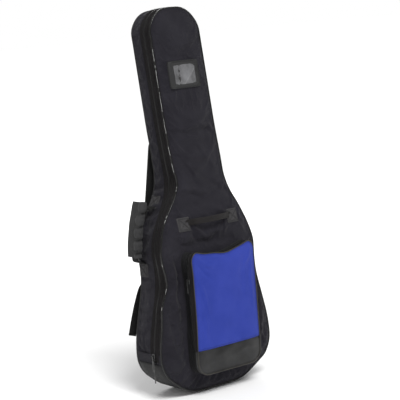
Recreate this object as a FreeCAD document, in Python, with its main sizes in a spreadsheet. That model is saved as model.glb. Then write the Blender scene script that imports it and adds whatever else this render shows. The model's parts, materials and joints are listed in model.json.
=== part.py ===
"""Padded gig bag for an electric guitar, as a parametric FreeCAD document.

Frame: +Z up, front of the bag faces -Y, +X to the right of someone facing it.
The origin is the centre of the flat base that the bag stands on.  Millimetres.

The bag is a shell (back, side gusset and toe) closed by a lid that folds down
on a line at the height where the main zip ends.  Every wall is built from the
same two curves: the outline seen from the front, and the side profile, whose
neck leans back.  A layer of a wall is the outline moved in by a distance, cut
by the side profile moved back by a distance.
"""
import FreeCAD, Part
import Sketcher
import math
import os

Vector = FreeCAD.Vector
Rotation = FreeCAD.Rotation
Placement = FreeCAD.Placement

doc = FreeCAD.newDocument("gig_bag")

# ---------------------------------------------------------------- dimensions

DIMENSIONS = {
    # outline, as half widths at the heights of its corner points
    "base_height": 1.5,
    "bag_height": 1048.8,
    "toe_half": 100,
    "hip_half": 193,
    "hip_height": 78,
    "lower_bout_half": 191,
    "lower_bout_height": 161,
    "waist_half": 152,
    "waist_height": 325,
    "upper_bout_half": 165,
    "upper_bout_height": 425,
    "neck_root_half": 84,
    "neck_root_height": 560,
    "head_half": 83,
    # corner radii of the outline, bottom to top
    "toe_radius": 149,
    "hip_radius": 88,
    "lower_bout_radius": 380,
    "waist_radius": 274,
    "upper_bout_radius": 125,
    "neck_root_radius": 163,
    "head_radius": 66,
    # side profile
    "body_depth": 110,
    "lean_angle": 7.6,
    "front_knee_height": 430,
    "back_knee_height": 620,
    "knee_radius": 903,
    # layers of a wall
    "head_from": 985,
    "foam_split_low": 326,
    "foam_split_high": 556,
    "fabric_thick": 1.2,
    "foam_thick": 8,
    "lining_thick": 0.8,
    "layer_gap": 0.3,
    "piping_out": 1.2,
    "piping_in": 3.0,
    "piping_proud": 1.5,
    # fold line of the lid
    "fold_height": 129,
    "fold_gap": 0.2,
    # main zip, as depths behind the front face
    "zip_front": 10.3,
    "zip_centre": 27.45,
    "zip_back": 44,
    "coil_width": 1.8,
    "coil_parting": 0.15,
    "coil_out": 1.4,
    "coil_in": 0.8,
    "tape_thick": 0.7,
    "strip_thick": 3,
    "zip_tail_low": 106,
    # scuff patch round the toe
    "scuff_height": 104,
    "scuff_margin": 4,
    # front pocket
    "pocket_left": -108,
    "pocket_right": 115,
    "pocket_bottom": 60,
    "pocket_top": 395,
    "pocket_top_radius": 28,
    "pocket_bottom_radius": 36,
    "pocket_depth": 48,
    "pocket_wall": 2,
    "pocket_panel_thick": 1.3,
    "pocket_coil": 3.6,
    "pocket_rim": 8,
    "pocket_panel_inset": 1.5,
    "pocket_coil_out": 0.4,
    "pocket_piping_out": 1.6,
    "pocket_piping_in": 1.2,
    "pocket_piping_thick": 2.2,
    # carry handles
    "patch_size": 38,
    "patch_thick": 2,
    "front_patch_reach": 84,
    "front_patch_height": 470,
    "grip_height": 22,
    "grip_thick": 2.6,
    "grip_half": 58,
    "grip_face": -65.5,
    "grip_set_back": 3,
    "grip_bend": 60,
    "side_centre_depth": 34,
    "side_patch_upper_low": 512,
    "side_patch_upper_high": 543,
    "side_patch_lower_low": 331,
    "side_patch_lower_high": 368,
    "side_web_width": 28,
    "side_web_thick": 2.4,
    "wrap_width": 42,
    "wrap_thick": 18,
    "wrap_length": 150,
    "wrap_centre": 0.472,
    # identity tag on the neck
    "tag_width": 104,
    "tag_height": 75,
    "tag_centre_height": 867.5,
    "tag_thick": 1.6,
    "window_width": 71,
    "window_height": 53,
    "window_shift": 2,
    "window_thick": 0.8,
    # zip sliders and pulls
    "slider_width": 11,
    "slider_length": 12,
    "slider_thick": 2.4,
    "slider_gap": 2.1,
    "slider_pitch": 14,
    "slider_low": 112,
    "pin_height": 4.6,
    "pin_radius": 1.0,
    "eye_radius": 1.9,
    "eye_play": 0.05,
    "pull_width": 3.4,
    "pull_thick": 1.6,
    "short_pull": 44,
    "long_pull": 60,
    "pocket_pull": 32,
    "pocket_slider_height": 322,
    # shoulder straps
    "strap_top_reach": 42,
    "strap_top_height": 712,
    "strap_tilt": 10.3,
    "strap_width": 52,
    "strap_thick": 10,
    "web_width": 25,
    "web_thick": 1.8,
    "tail_length": 165,
    "tail_splay": 12.5,
    "buckle_width": 34,
    "buckle_length": 30,
    "buckle_thick": 4.5,
    "slot_height": 5.5,
    "buckle_bar": 4.5,
    "buckle_at": 412,
    "yoke_half": 70,
    "yoke_above": 34,
    "yoke_below": 8,
    "tab_reach": 150,
    "tab_half": 18,
    "tab_low": 98,
    "tab_high": 132,
    # inside
    "rest_half": 58,
    "rest_low": 640,
    "rest_high": 706,
    "rest_deep": 28,
    "groove_radius": 20,
    "groove_start": 14.8,
    "band_half": 66,
    "band_low": 654,
    "band_high": 692,
    "band_thick": 2,
    "toe_pad_width": 100,
    "toe_pad_depth": 60,
    "toe_pad_thick": 4,
}

sheet = doc.addObject("Spreadsheet::Sheet", "sizes")
for row, (alias, value) in enumerate(DIMENSIONS.items(), start=1):
    sheet.set("A%d" % row, alias)
    sheet.set("B%d" % row, str(value))
    sheet.setAlias("B%d" % row, alias)
doc.recompute()


def size(alias):
    """The value of one cell of the sheet."""
    return float(sheet.get(alias))


FAR = 400.0                    # beyond the bag on every side
GAP = size("layer_gap")
FABRIC = size("fabric_thick")
FOAM_IN = FABRIC + GAP                          # outer face of the foam
FOAM_OUT = FOAM_IN + size("foam_thick")         # inner face of the foam
LINING_IN = FOAM_OUT + GAP
LINING_OUT = LINING_IN + size("lining_thick")
INSIDE = LINING_OUT + GAP
FRONT = -size("body_depth") / 2
BACK = size("body_depth") / 2
FOLD = size("fold_height")
LID_FROM = FOLD + size("fold_gap")
SHELL_TO = FOLD - size("fold_gap")
PANEL_INSET = size("piping_in") + GAP

nodes = {}


# ------------------------------------------------------- curves and profiles

def bend(a, b, c, radius, shift):
    """Tangent points and middle of the arc at corner b, after moving the
    corner's two sides to their left by shift (a, b and c are (u, v))."""
    d0 = (Vector(b[0], b[1], 0) - Vector(a[0], a[1], 0)).normalize()
    d1 = (Vector(c[0], c[1], 0) - Vector(b[0], b[1], 0)).normalize()
    n0 = Vector(-d0.y, d0.x, 0)
    n1 = Vector(-d1.y, d1.x, 0)
    corner = Vector(b[0], b[1], 0) + (n0 + n1) * (shift / (1 + n0.dot(n1)))
    left_turn = d0.cross(d1).z > 0
    arc = radius - shift if left_turn else radius + shift
    half_turn = d0.getAngle(d1) / 2
    run = arc * math.tan(half_turn)
    inward = (n0 + n1).normalize() * (1 if left_turn else -1)
    middle = corner + inward * (arc / math.cos(half_turn) - arc)
    return corner - d0 * run, middle, corner + d1 * run


def joined(pieces, place, closed):
    """One wire through tangent arcs (start, middle, end) and the straight
    runs between them; place turns (u, v) into a point in space."""
    edges = []
    last = pieces[-1] if closed else None
    for piece in pieces:
        if last is not None and (piece[0] - last[-1]).Length > 1e-6:
            edges.append(Part.makeLine(place(last[-1]), place(piece[0])))
        if len(piece) == 3:
            edges.append(Part.Arc(*[place(p) for p in piece]).toShape())
        last = piece
    return Part.Wire(edges)


def closed_wire(points, radii, inset, place):
    """Closed outline with rounded corners, listed anticlockwise, moved in."""
    count = len(points)
    pieces = []
    for i in range(count):
        pieces.append(bend(points[i - 1], points[i], points[(i + 1) % count], radii[i], inset))
    return joined(pieces, place, True)


def open_pieces(points, radii, shift):
    """Open path with rounded corners, moved to its left by shift."""
    first = Vector(points[0][0], points[0][1], 0)
    second = Vector(points[1][0], points[1][1], 0)
    before = Vector(points[-2][0], points[-2][1], 0)
    last = Vector(points[-1][0], points[-1][1], 0)
    d0 = (second - first).normalize()
    d1 = (last - before).normalize()
    pieces = [(first + Vector(-d0.y, d0.x, 0) * shift,)]
    for i in range(1, len(points) - 1):
        pieces.append(bend(points[i - 1], points[i], points[i + 1], radii[i - 1], shift))
    pieces.append((last + Vector(-d1.y, d1.x, 0) * shift,))
    return pieces


def ribbon(points, radii, thick, place):
    """Face of a bent strip of even thickness about an open path."""
    left = open_pieces(points, radii, thick / 2)
    right = [piece[::-1] for piece in open_pieces(points, radii, -thick / 2)[::-1]]
    return Part.Face(joined(left + right, place, True))


def front_view(p):
    """(u, v) as X and Z."""
    return Vector(p.x, 0, p.y)


def side_view(p):
    """(u, v) as Y and Z."""
    return Vector(0, p.x, p.y)


def plan_view(p):
    """(u, v) as X and Y."""
    return Vector(p.x, p.y, 0)


def box(x0, x1, y0, y1, z0, z1):
    """Box between two corners."""
    return Part.makeBox(x1 - x0, y1 - y0, z1 - z0, Vector(x0, y0, z0))


def above(height):
    """Everything above a height."""
    return box(-FAR, FAR, -FAR, FAR, height, 4 * FAR)


def below(height):
    """Everything below a height."""
    return box(-FAR, FAR, -FAR, FAR, -FAR, height)


HALF_OUTLINE = [
    (size("toe_half"), size("base_height")),
    (size("hip_half"), size("hip_height")),
    (size("lower_bout_half"), size("lower_bout_height")),
    (size("waist_half"), size("waist_height")),
    (size("upper_bout_half"), size("upper_bout_height")),
    (size("neck_root_half"), size("neck_root_height")),
    (size("head_half"), size("bag_height")),
]
HALF_RADII = [
    size("toe_radius"), size("hip_radius"), size("lower_bout_radius"),
    size("waist_radius"), size("upper_bout_radius"), size("neck_root_radius"),
    size("head_radius"),
]
OUTLINE = HALF_OUTLINE + [(-x, z) for x, z in reversed(HALF_OUTLINE)]
RADII = HALF_RADII + HALF_RADII[::-1]


def prism(inset):
    """The bag's outline moved in, run through from front to back."""
    face = Part.Face(closed_wire(OUTLINE, RADII, inset, front_view))
    face.translate(Vector(0, -FAR, 0))
    return face.extrude(Vector(0, 2 * FAR, 0))


def ring(outer, inner):
    """Wall that follows the outline between two insets."""
    return prism(outer).cut(prism(inner))


def half_width(height):
    """Half width of the outline at a height."""
    line = box(0, FAR, -0.5, 0.5, height - 0.01, height + 0.01)
    return prism(0).common(line).BoundBox.XMax


LEAN = math.tan(math.radians(size("lean_angle")))


def profile(start, knee, shift):
    """Side curve of the front or the back, bottom to top, moved towards +Y."""
    top = 3 * FAR
    points = [(start, -FAR), (start, knee), (start + (top - knee) * LEAN, top)]
    return open_pieces(points, [size("knee_radius")], -shift)


def slab(near, far):
    """Everything between two side curves, run through across the width."""
    pieces = near + [piece[::-1] for piece in far[::-1]]
    face = Part.Face(joined(pieces, side_view, True))
    face.translate(Vector(-FAR, 0, 0))
    return face.extrude(Vector(2 * FAR, 0, 0))


def from_front(depth):
    """Side curve at a depth behind the front face."""
    return profile(FRONT, size("front_knee_height"), depth)


def from_back(depth):
    """Side curve at a depth in front of the back face."""
    return profile(BACK, size("back_knee_height"), -depth)


def front_layer(near, far):
    """Slab between two depths behind the front face."""
    return slab(from_front(near), from_front(far))


def back_layer(near, far):
    """Slab between two depths in front of the back face."""
    return slab(from_back(far), from_back(near))


def across(near, far):
    """Slab from a depth behind the front face to one before the back face."""
    return slab(from_front(near), from_back(far))


def feature(label, shape):
    """Sub-part whose shape is set directly."""
    item = doc.addObject("Part::Feature", label)
    item.Label = label
    item.Shape = shape.removeSplitter()
    item.Placement = Placement()
    nodes[label] = item
    return item


# --------------------------------------------------------- shell: back panel

feature("back_panel_fabric", prism(PANEL_INSET).common(back_layer(0, FABRIC)))


def foam_panels(name, foam):
    """A face's foam in three sheets, parted where the outline is narrowest."""
    first = size("foam_split_low")
    second = size("foam_split_high")
    sheets = [foam.common(below(first - GAP / 2)),
              foam.common(box(-FAR, FAR, -FAR, FAR, first + GAP / 2, second - GAP / 2)),
              foam.common(above(second + GAP / 2))]
    feature(name, Part.makeCompound([solid for sheet in sheets for solid in sheet.Solids]))


foam_panels("back_panel_foam", prism(FOAM_IN).common(back_layer(FOAM_IN, FOAM_OUT)))
feature("back_panel_lining", prism(LINING_IN).common(back_layer(LINING_IN, LINING_OUT)))
piping = ring(-size("piping_out"), size("piping_in"))
feature("back_piping", piping.common(back_layer(-size("piping_proud"), FABRIC)))

# ------------------------------------------------------- shell: side gusset

COIL = size("coil_width")
ZIP = size("zip_centre")
PARTING = size("coil_parting")
SHELL_EDGE = ZIP + COIL + PARTING + GAP


def gusset(outer, inner, toe_depth, back_depth):
    """Layer of the gusset: behind the zip above the fold, whole below it."""
    wall = ring(outer, inner)
    upper = wall.common(across(SHELL_EDGE, back_depth)).common(above(SHELL_TO))
    lower = wall.common(across(toe_depth, back_depth)).common(below(SHELL_TO))
    return upper.fuse(lower)


feature("gusset_fabric", gusset(0, FABRIC, FOAM_IN, FOAM_IN))
feature("gusset_lining", gusset(LINING_IN, LINING_OUT, INSIDE, INSIDE))

HEAD_FROM = size("head_from")
foam_wall = ring(FOAM_IN, FOAM_OUT)
foam_sides = foam_wall.common(across(SHELL_EDGE, LINING_IN)).common(above(LID_FROM))
foam_side = foam_sides.common(below(HEAD_FROM))
feature("gusset_foam_left", foam_side.common(box(-FAR, 0, -FAR, FAR, 0, 4 * FAR)))
feature("gusset_foam_right", foam_side.common(box(0, FAR, -FAR, FAR, 0, 4 * FAR)))
feature("gusset_foam_head", foam_sides.common(above(HEAD_FROM + GAP)))
feature("gusset_foam_toe", foam_wall.common(across(INSIDE, LINING_IN)).common(below(SHELL_TO)))

scuff_wall = ring(-size("base_height"), -GAP).common(below(size("scuff_height")))
scuff_depth = size("scuff_margin")
feature("scuff_patch", scuff_wall.common(across(scuff_depth, scuff_depth)))

# ----------------------------------------------------------- shell: front toe

toe = below(SHELL_TO)
inner_prism = prism(PANEL_INSET)
feature("toe_front_fabric", inner_prism.common(front_layer(0, FABRIC)).common(toe))
feature("toe_front_foam", inner_prism.common(front_layer(FOAM_IN, FOAM_OUT)).common(toe))
feature("toe_front_lining", inner_prism.common(front_layer(LINING_IN, LINING_OUT)).common(toe))
front_piping = piping.common(front_layer(-size("piping_proud"), FABRIC))
feature("toe_piping", front_piping.common(toe))

# ------------------------------------------------------------------- the lid

lid_zone = above(LID_FROM)
feature("lid_fabric", inner_prism.common(front_layer(0, FABRIC)).common(lid_zone))
foam_panels("lid_foam", inner_prism.common(front_layer(FOAM_IN, FOAM_OUT)).common(lid_zone))
feature("lid_lining", inner_prism.common(front_layer(LINING_IN, LINING_OUT)).common(lid_zone))
feature("lid_piping", front_piping.common(lid_zone))
LID_EDGE = ZIP - COIL - PARTING - GAP
strip_wall = ring(0, size("strip_thick"))
feature("lid_edge_strip", strip_wall.common(front_layer(FOAM_IN, LID_EDGE)).common(lid_zone))

# ------------------------------------------------------------------ main zip

tape_wall = ring(-GAP - size("tape_thick"), -GAP)
coil_wall = ring(-size("coil_out"), size("coil_in"))
feature("zip_tape_lid", tape_wall.common(front_layer(size("zip_front"), LID_EDGE)).common(lid_zone))
feature("zip_coil_lid", coil_wall.common(front_layer(ZIP - PARTING - COIL, ZIP - PARTING)).common(lid_zone))
feature("zip_tape_shell",
        tape_wall.common(front_layer(SHELL_EDGE, size("zip_back"))).common(lid_zone))
feature("zip_coil_shell",
        coil_wall.common(front_layer(ZIP + PARTING, ZIP + PARTING + COIL)).common(lid_zone))

# closed run of the zip below the fold
tail = tape_wall.common(front_layer(size("zip_front"), size("zip_back"))).common(toe)
feature("zip_tail", tail.common(above(size("zip_tail_low"))))

# -------------------------------------------------------------- front pocket

POCKET_OUTLINE = [
    (size("pocket_left"), size("pocket_bottom")),
    (size("pocket_right"), size("pocket_bottom")),
    (size("pocket_right"), size("pocket_top")),
    (size("pocket_left"), size("pocket_top")),
]
POCKET_RADII = [size("pocket_bottom_radius")] * 2 + [size("pocket_top_radius")] * 2


def pocket(inset, near, far):
    """The pocket's outline moved in, between two depths in front of the lid."""
    face = Part.Face(closed_wire(POCKET_OUTLINE, POCKET_RADII, inset, front_view))
    face.translate(Vector(0, FRONT - far, 0))
    return face.extrude(Vector(0, far - near, 0))


def pocket_ring(outer, inner, near, far):
    """Wall of the pocket between two depths in front of the lid."""
    return pocket(outer, near, far).cut(pocket(inner, near, far))


DEEP = size("pocket_depth")
WALL = size("pocket_wall")
PANEL = size("pocket_panel_thick")
RIM = DEEP - size("pocket_rim")
coil_near = RIM - GAP - size("pocket_coil")
pocket_lid_wall = pocket_ring(0, WALL, GAP, coil_near - GAP)
feature("pocket_gusset", pocket_lid_wall.common(lid_zone))
COIL_OUT = size("pocket_coil_out")
pocket_coil = pocket_ring(-COIL_OUT, WALL - COIL_OUT, coil_near, RIM - GAP)
feature("pocket_zip", pocket_coil.common(lid_zone))
feature("pocket_rim_strip", pocket_ring(0, WALL, RIM, DEEP - GAP).common(lid_zone))
pocket_front = pocket(size("pocket_panel_inset"), DEEP, DEEP + PANEL)
feature("pocket_panel", pocket_front.common(lid_zone))
pocket_piping = pocket_ring(-size("pocket_piping_out"), size("pocket_piping_in"),
                            DEEP, DEEP + size("pocket_piping_thick"))
feature("pocket_piping_upper", pocket_piping.common(lid_zone))
feature("pocket_toe_panel", pocket_front.common(toe))
feature("pocket_toe_gusset", pocket_ring(0, WALL, GAP, DEEP - GAP).common(toe))
feature("pocket_piping_lower", pocket_piping.common(toe))

# ---------------------------------------------------------------- tag holder

TAG_X = size("tag_width") / 2
TAG_LOW = size("tag_centre_height") - size("tag_height") / 2
TAG_HIGH = size("tag_centre_height") + size("tag_height") / 2
WINDOW_LOW = size("tag_centre_height") - size("window_height") / 2
WINDOW_HIGH = size("tag_centre_height") + size("window_height") / 2
WINDOW_LEFT = size("window_shift") - size("window_width") / 2
WINDOW_RIGHT = size("window_shift") + size("window_width") / 2
tag_plate = front_layer(-GAP - size("tag_thick"), -GAP)
tag_hole = box(WINDOW_LEFT, WINDOW_RIGHT, -FAR, FAR, WINDOW_LOW, WINDOW_HIGH)
tag_area = box(-TAG_X, TAG_X, -FAR, FAR, TAG_LOW, TAG_HIGH)
feature("tag_frame", tag_plate.common(tag_area).cut(tag_hole))
window_area = box(WINDOW_LEFT + GAP, WINDOW_RIGHT - GAP, -FAR, FAR,
                  WINDOW_LOW + GAP, WINDOW_HIGH - GAP)
feature("tag_window", front_layer(-GAP - size("window_thick"), -GAP).common(window_area))

# -------------------------------------------------------------- front handle

PATCH = size("patch_size")
front_patch = front_layer(-GAP - size("patch_thick"), -GAP)
for side, label in ((-1, "front_handle_patch_left"), (1, "front_handle_patch_right")):
    centre = side * size("front_patch_reach")
    low = size("front_patch_height") - PATCH / 2
    patch_area = box(centre - PATCH / 2, centre + PATCH / 2, -FAR, FAR, low, low + PATCH)
    feature(label, front_patch.common(patch_area))

GRIP = size("grip_half")
GRIP_Y = size("grip_face")
grip_end = GRIP_Y + size("grip_set_back")
grip_straight = GRIP - 14
grip_path = [(-GRIP, grip_end), (-grip_straight, GRIP_Y), (grip_straight, GRIP_Y), (GRIP, grip_end)]
grip_face = ribbon(grip_path, [size("grip_bend")] * 2, size("grip_thick"), plan_view)
grip_face.translate(Vector(0, 0, size("front_patch_height") - size("grip_height") / 2))
feature("front_handle_grip", grip_face.extrude(Vector(0, 0, size("grip_height"))))

# --------------------------------------------------------------- side handle

SIDE_Y = size("side_centre_depth")
side_patch = ring(-GAP - size("patch_thick"), -GAP)
for end in ("upper", "lower"):
    low = size("side_patch_%s_low" % end)
    high = size("side_patch_%s_high" % end)
    patch_area = box(-FAR, 0, SIDE_Y - PATCH / 2, SIDE_Y + PATCH / 2, low, high)
    feature("side_handle_patch_" + end, side_patch.common(patch_area))

# the webbing leaves the gusset between the patches and bows out to the wrap
side_path = [(-124, 508), (-151, 550), (-192, 364), (-168, 377)]
side_corners = [6, 5]
side_face = ribbon(side_path, side_corners, size("side_web_thick"), front_view)
side_face.translate(Vector(0, SIDE_Y - size("side_web_width") / 2, 0))
side_web = side_face.extrude(Vector(0, size("side_web_width"), 0))

wrap_run = Vector(side_path[2][0] - side_path[1][0], 0, side_path[2][1] - side_path[1][1])
wrap_turn = math.degrees(math.atan2(-wrap_run.x, -wrap_run.z))
wrap_middle = Vector(side_path[1][0], SIDE_Y, side_path[1][1]) + wrap_run * size("wrap_centre")
wrap_place = Placement(wrap_middle, Rotation(Vector(0, 1, 0), wrap_turn))
wrap = doc.addObject("Part::Box", "side_handle_wrap")
wrap.setExpression("Length", "sizes.wrap_thick")
wrap.setExpression("Width", "sizes.wrap_width")
wrap.setExpression("Height", "sizes.wrap_length")
wrap.Label = "side_handle_wrap"
corner = Vector(-size("wrap_thick") / 2, -size("wrap_width") / 2, -size("wrap_length") / 2)
wrap.Placement = wrap_place.multiply(Placement(corner, Rotation()))
nodes["side_handle_wrap"] = wrap

# the webbing shows at both ends of the wrap, which is stuffed round its middle
hidden = box(-FAR, FAR, -FAR, FAR, -size("wrap_length") / 2 - GAP, size("wrap_length") / 2 + GAP)
hidden.Placement = wrap_place
feature("side_handle_webbing", side_web.cut(hidden))


# ------------------------------------------------------- PartDesign helpers

def origin_plane(body, role):
    """The body's own origin plane of that role."""
    for plane in body.Origin.OriginFeatures:
        if plane.Role == role:
            return plane
    raise ValueError(role)


def sketch_on(body, role, name):
    """Empty sketch on one of the body's origin planes."""
    sketch = body.newObject("Sketcher::SketchObject", name)
    sketch.AttachmentSupport = [(origin_plane(body, role), "")]
    sketch.MapMode = "FlatFace"
    return sketch


def draw_rectangle(sketch, width, height, across_at, up_at):
    """Rectangle centred at a point; the four arguments are expressions."""
    first = sketch.GeometryCount
    corners = [Vector(-1, -1, 0), Vector(1, -1, 0), Vector(1, 1, 0), Vector(-1, 1, 0)]
    for i in range(4):
        sketch.addGeometry(Part.LineSegment(corners[i], corners[(i + 1) % 4]), False)
    for i in range(4):
        following = first + (i + 1) % 4
        sketch.addConstraint(Sketcher.Constraint("Coincident", first + i, 2, following, 1))
    for i in (0, 2):
        sketch.addConstraint(Sketcher.Constraint("Horizontal", first + i))
    for i in (1, 3):
        sketch.addConstraint(Sketcher.Constraint("Vertical", first + i))
    limits = [
        ("DistanceX", 0, 1, "%s - (%s) / 2" % (across_at, width)),
        ("DistanceX", 2, 1, "%s + (%s) / 2" % (across_at, width)),
        ("DistanceY", 0, 1, "%s - (%s) / 2" % (up_at, height)),
        ("DistanceY", 2, 1, "%s + (%s) / 2" % (up_at, height)),
    ]
    for kind, line, end, expression in limits:
        start = -1.0 if line == 0 else 1.0
        made = sketch.addConstraint(Sketcher.Constraint(kind, -1, 1, first + line, end, start))
        sketch.setExpression("Constraints[%d]" % made, expression)


def draw_circle(sketch, radius, across_at, up_at):
    """Circle about a point; the three arguments are expressions."""
    made = sketch.addGeometry(Part.Circle(Vector(1, 1, 0), Vector(0, 0, 1), 1), False)
    parts = [
        (Sketcher.Constraint("Radius", made, 1.0), radius),
        (Sketcher.Constraint("DistanceX", -1, 1, made, 3, 1.0), across_at),
        (Sketcher.Constraint("DistanceY", -1, 1, made, 3, 1.0), up_at),
    ]
    for constraint, expression in parts:
        number = sketch.addConstraint(constraint)
        sketch.setExpression("Constraints[%d]" % number, expression)


def pad(body, sketch, length, midplane):
    """Pad of a sketch by an expression."""
    made = body.newObject("PartDesign::Pad", sketch.Name + "_pad")
    made.Profile = sketch
    made.Midplane = midplane
    made.setExpression("Length", length)
    return made


def new_body(label):
    """Empty PartDesign body of that label."""
    body = doc.addObject("PartDesign::Body", label)
    body.Label = label
    nodes[label] = body
    return body


# --------------------------------------------------------- sliders and pulls

def slider(label, place, side):
    """Zip slider: plate on the tape, two posts and the pin its pull turns on.
    Local +X points out of the tape and +Z along the zip; side is the way
    along Y that the pull sits, 0 for the middle."""
    body = new_body(label)
    plate = sketch_on(body, "YZ_Plane", label + "_plate")
    draw_rectangle(plate, "sizes.slider_width", "sizes.slider_length", "0", "0")
    pad(body, plate, "sizes.slider_thick", False)
    middle = "%d * (sizes.pull_width / 2 + 0.9)" % side
    half_gap = "(sizes.pull_width / 2 + 0.3)"
    posts = sketch_on(body, "YZ_Plane", label + "_posts")
    for way in (-1, 1):
        centre = "%s + %d * (%s + 0.3)" % (middle, way, half_gap)
        draw_rectangle(posts, "0.6", "2 * sizes.pin_radius + 1.2", centre, "0")
    pad(body, posts, "sizes.pin_height + sizes.pin_radius + 0.4", False)
    pin = sketch_on(body, "XZ_Plane", label + "_pin")
    draw_circle(pin, "sizes.pin_radius", "sizes.pin_height", "0")
    pin_pad = pad(body, pin, "2 * %s + 1.0" % half_gap, True)
    body.Tip = pin_pad
    doc.recompute()
    # the pin's sketch lies on the slider's middle, so it is moved to its pull
    pin.setExpression(".AttachmentOffset.Base.z", "-(%s)" % middle)
    body.Placement = place
    return body


def pull(label, place, length):
    """Zip pull: an eye round the slider's pin and a bar hanging from it."""
    body = new_body(label)
    bar = sketch_on(body, "XZ_Plane", label + "_bar")
    draw_rectangle(bar, "sizes.pull_thick", length + " - 1.6", "0",
                   "-(%s) / 2 - 0.8" % length)
    pad(body, bar, "sizes.pull_width", True)
    eye = sketch_on(body, "XZ_Plane", label + "_eye")
    draw_circle(eye, "sizes.eye_radius", "0", "0")
    draw_circle(eye, "sizes.pin_radius + sizes.eye_play", "0", "0")
    body.Tip = pad(body, eye, "sizes.pull_width", True)
    body.Placement = place
    return body


TURN_LEFT = Rotation(Vector(0, 0, 1), 180)     # local +X out of the left wall
PULL_OFFSET = size("pull_width") / 2 + 0.9
MAIN_ZIP_Y = FRONT + ZIP
low_z = size("slider_low")
high_z = low_z + size("slider_pitch")
for label, height, side, length in (("main_slider_lower", low_z, 1, "sizes.long_pull"),
                                    ("main_slider_upper", high_z, -1, "sizes.short_pull")):
    wall_x = -half_width(height) - size("slider_gap")
    slider(label, Placement(Vector(wall_x, MAIN_ZIP_Y, height), TURN_LEFT), side)
    hang = Vector(wall_x - size("pin_height"), MAIN_ZIP_Y - side * PULL_OFFSET, height)
    pull(label.replace("slider", "pull"), Placement(hang, TURN_LEFT), length)

POCKET_ZIP_Y = FRONT - (coil_near + RIM - GAP) / 2
POCKET_SLIDER_Z = size("pocket_slider_height")
pocket_x = size("pocket_left") - COIL_OUT - GAP
slider("pocket_slider", Placement(Vector(pocket_x, POCKET_ZIP_Y, POCKET_SLIDER_Z), TURN_LEFT), 0)
hang = Vector(pocket_x - size("pin_height"), POCKET_ZIP_Y, POCKET_SLIDER_Z)
pull("pocket_pull", Placement(hang, TURN_LEFT), "sizes.pocket_pull")

# ----------------------------------------------------------- shoulder straps

STRAP_Z = size("strap_top_height")
BUCKLE_AT = size("buckle_at")  # down the strap from its top anchor
pad_path = [(78.5, -42), (80.5, -150), (79.5, -245), (77, -330), (77, -394)]
pad_radii = [700, 900, 700]
web_path = [(77, -BUCKLE_AT - 18), (71.5, -500), (61.2, -588)]
STRAP_SIDES = {"left": -1, "right": 1}


def strap_place(side):
    """From a strap's own frame, hanging along -Z, to its place on the back."""
    turn = Rotation(Vector(0, 1, 0), -side * size("strap_tilt"))
    return Placement(Vector(side * size("strap_top_reach"), 0, STRAP_Z), turn)


def strap_piece(path, radii, thick, width):
    """Bent strip of the strap, centred on the strap's middle."""
    face = ribbon(path, radii, thick, side_view)
    face.translate(Vector(-width / 2, 0, 0))
    return face.extrude(Vector(width, 0, 0))


def buckle(label, place):
    """Ladder lock: a frame with two slots, one bar between them."""
    body = new_body(label)
    frame = sketch_on(body, "XZ_Plane", label + "_frame")
    draw_rectangle(frame, "sizes.buckle_width", "sizes.buckle_length", "0", "0")
    slot = "sizes.web_width + 2"
    reach = "(sizes.buckle_bar + sizes.slot_height) / 2"
    for way in (-1, 1):
        draw_rectangle(frame, slot, "sizes.slot_height", "0", "%d * %s" % (way, reach))
    body.Tip = pad(body, frame, "sizes.buckle_thick", True)
    body.Placement = place
    return body


for name, side in STRAP_SIDES.items():
    place = strap_place(side)
    strap = strap_piece(pad_path, pad_radii, size("strap_thick"), size("strap_width"))
    feature("strap_%s_pad" % name, strap).Placement = place
    web = strap_piece(web_path, [400], size("web_thick"), size("web_width"))
    tail = Part.makeBox(size("web_width"), size("web_thick"), size("tail_length"),
                        Vector(-size("web_width") / 2, 0, -size("tail_length")))
    tail.rotate(Vector(0, 0, 0), Vector(0, 1, 0), -side * size("tail_splay"))
    tail.rotate(Vector(0, 0, 0), Vector(1, 0, 0), 4)
    tail.translate(Vector(0, 81, -BUCKLE_AT - 12))
    feature("strap_%s_webbing" % name, Part.makeCompound([web, tail])).Placement = place
    hold = place.multiply(Placement(Vector(0, 77, -BUCKLE_AT), Rotation()))
    buckle("strap_%s_buckle" % name, hold)

anchor_layer = back_layer(-GAP - size("patch_thick"), -GAP)
YOKE = size("yoke_half")
yoke_area = box(-YOKE, YOKE, -FAR, FAR, STRAP_Z - size("yoke_below"), STRAP_Z + size("yoke_above"))
feature("strap_yoke_patch", anchor_layer.common(yoke_area))
TAB = size("tab_half")
for name, side in STRAP_SIDES.items():
    reach = side * size("tab_reach")
    area = box(reach - TAB, reach + TAB, -FAR, FAR, size("tab_low"), size("tab_high"))
    feature("strap_%s_tab" % name, anchor_layer.common(area))

# ------------------------------------------------------------------- interior

REST = size("rest_half")
REST_DEEP = INSIDE + size("rest_deep")
rest_area = box(-REST, REST, -FAR, FAR, size("rest_low"), size("rest_high"))
rest_block = back_layer(INSIDE, REST_DEEP).common(rest_area)
groove_from = Vector(0, size("groove_start"), size("rest_low") - 30)
groove = Part.makeCylinder(size("groove_radius"), 120, groove_from, Vector(0, LEAN, 1))
feature("neck_rest", rest_block.cut(groove))
BAND = size("band_half")
band_area = box(-BAND, BAND, -FAR, FAR, size("band_low"), size("band_high"))
band_layer = back_layer(REST_DEEP + GAP, REST_DEEP + GAP + size("band_thick"))
feature("neck_strap", band_layer.common(band_area))
toe_pad = doc.addObject("Part::Box", "toe_pad")
toe_pad.Label = "toe_pad"
toe_pad.setExpression("Length", "sizes.toe_pad_width")
toe_pad.setExpression("Width", "sizes.toe_pad_depth")
toe_pad.setExpression("Height", "sizes.toe_pad_thick")
toe_pad.setExpression("Placement.Base.x", "-sizes.toe_pad_width / 2")
toe_pad.setExpression("Placement.Base.y", "-sizes.toe_pad_depth / 2")
toe_pad.setExpression("Placement.Base.z", "sizes.base_height + %s" % INSIDE)
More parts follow.
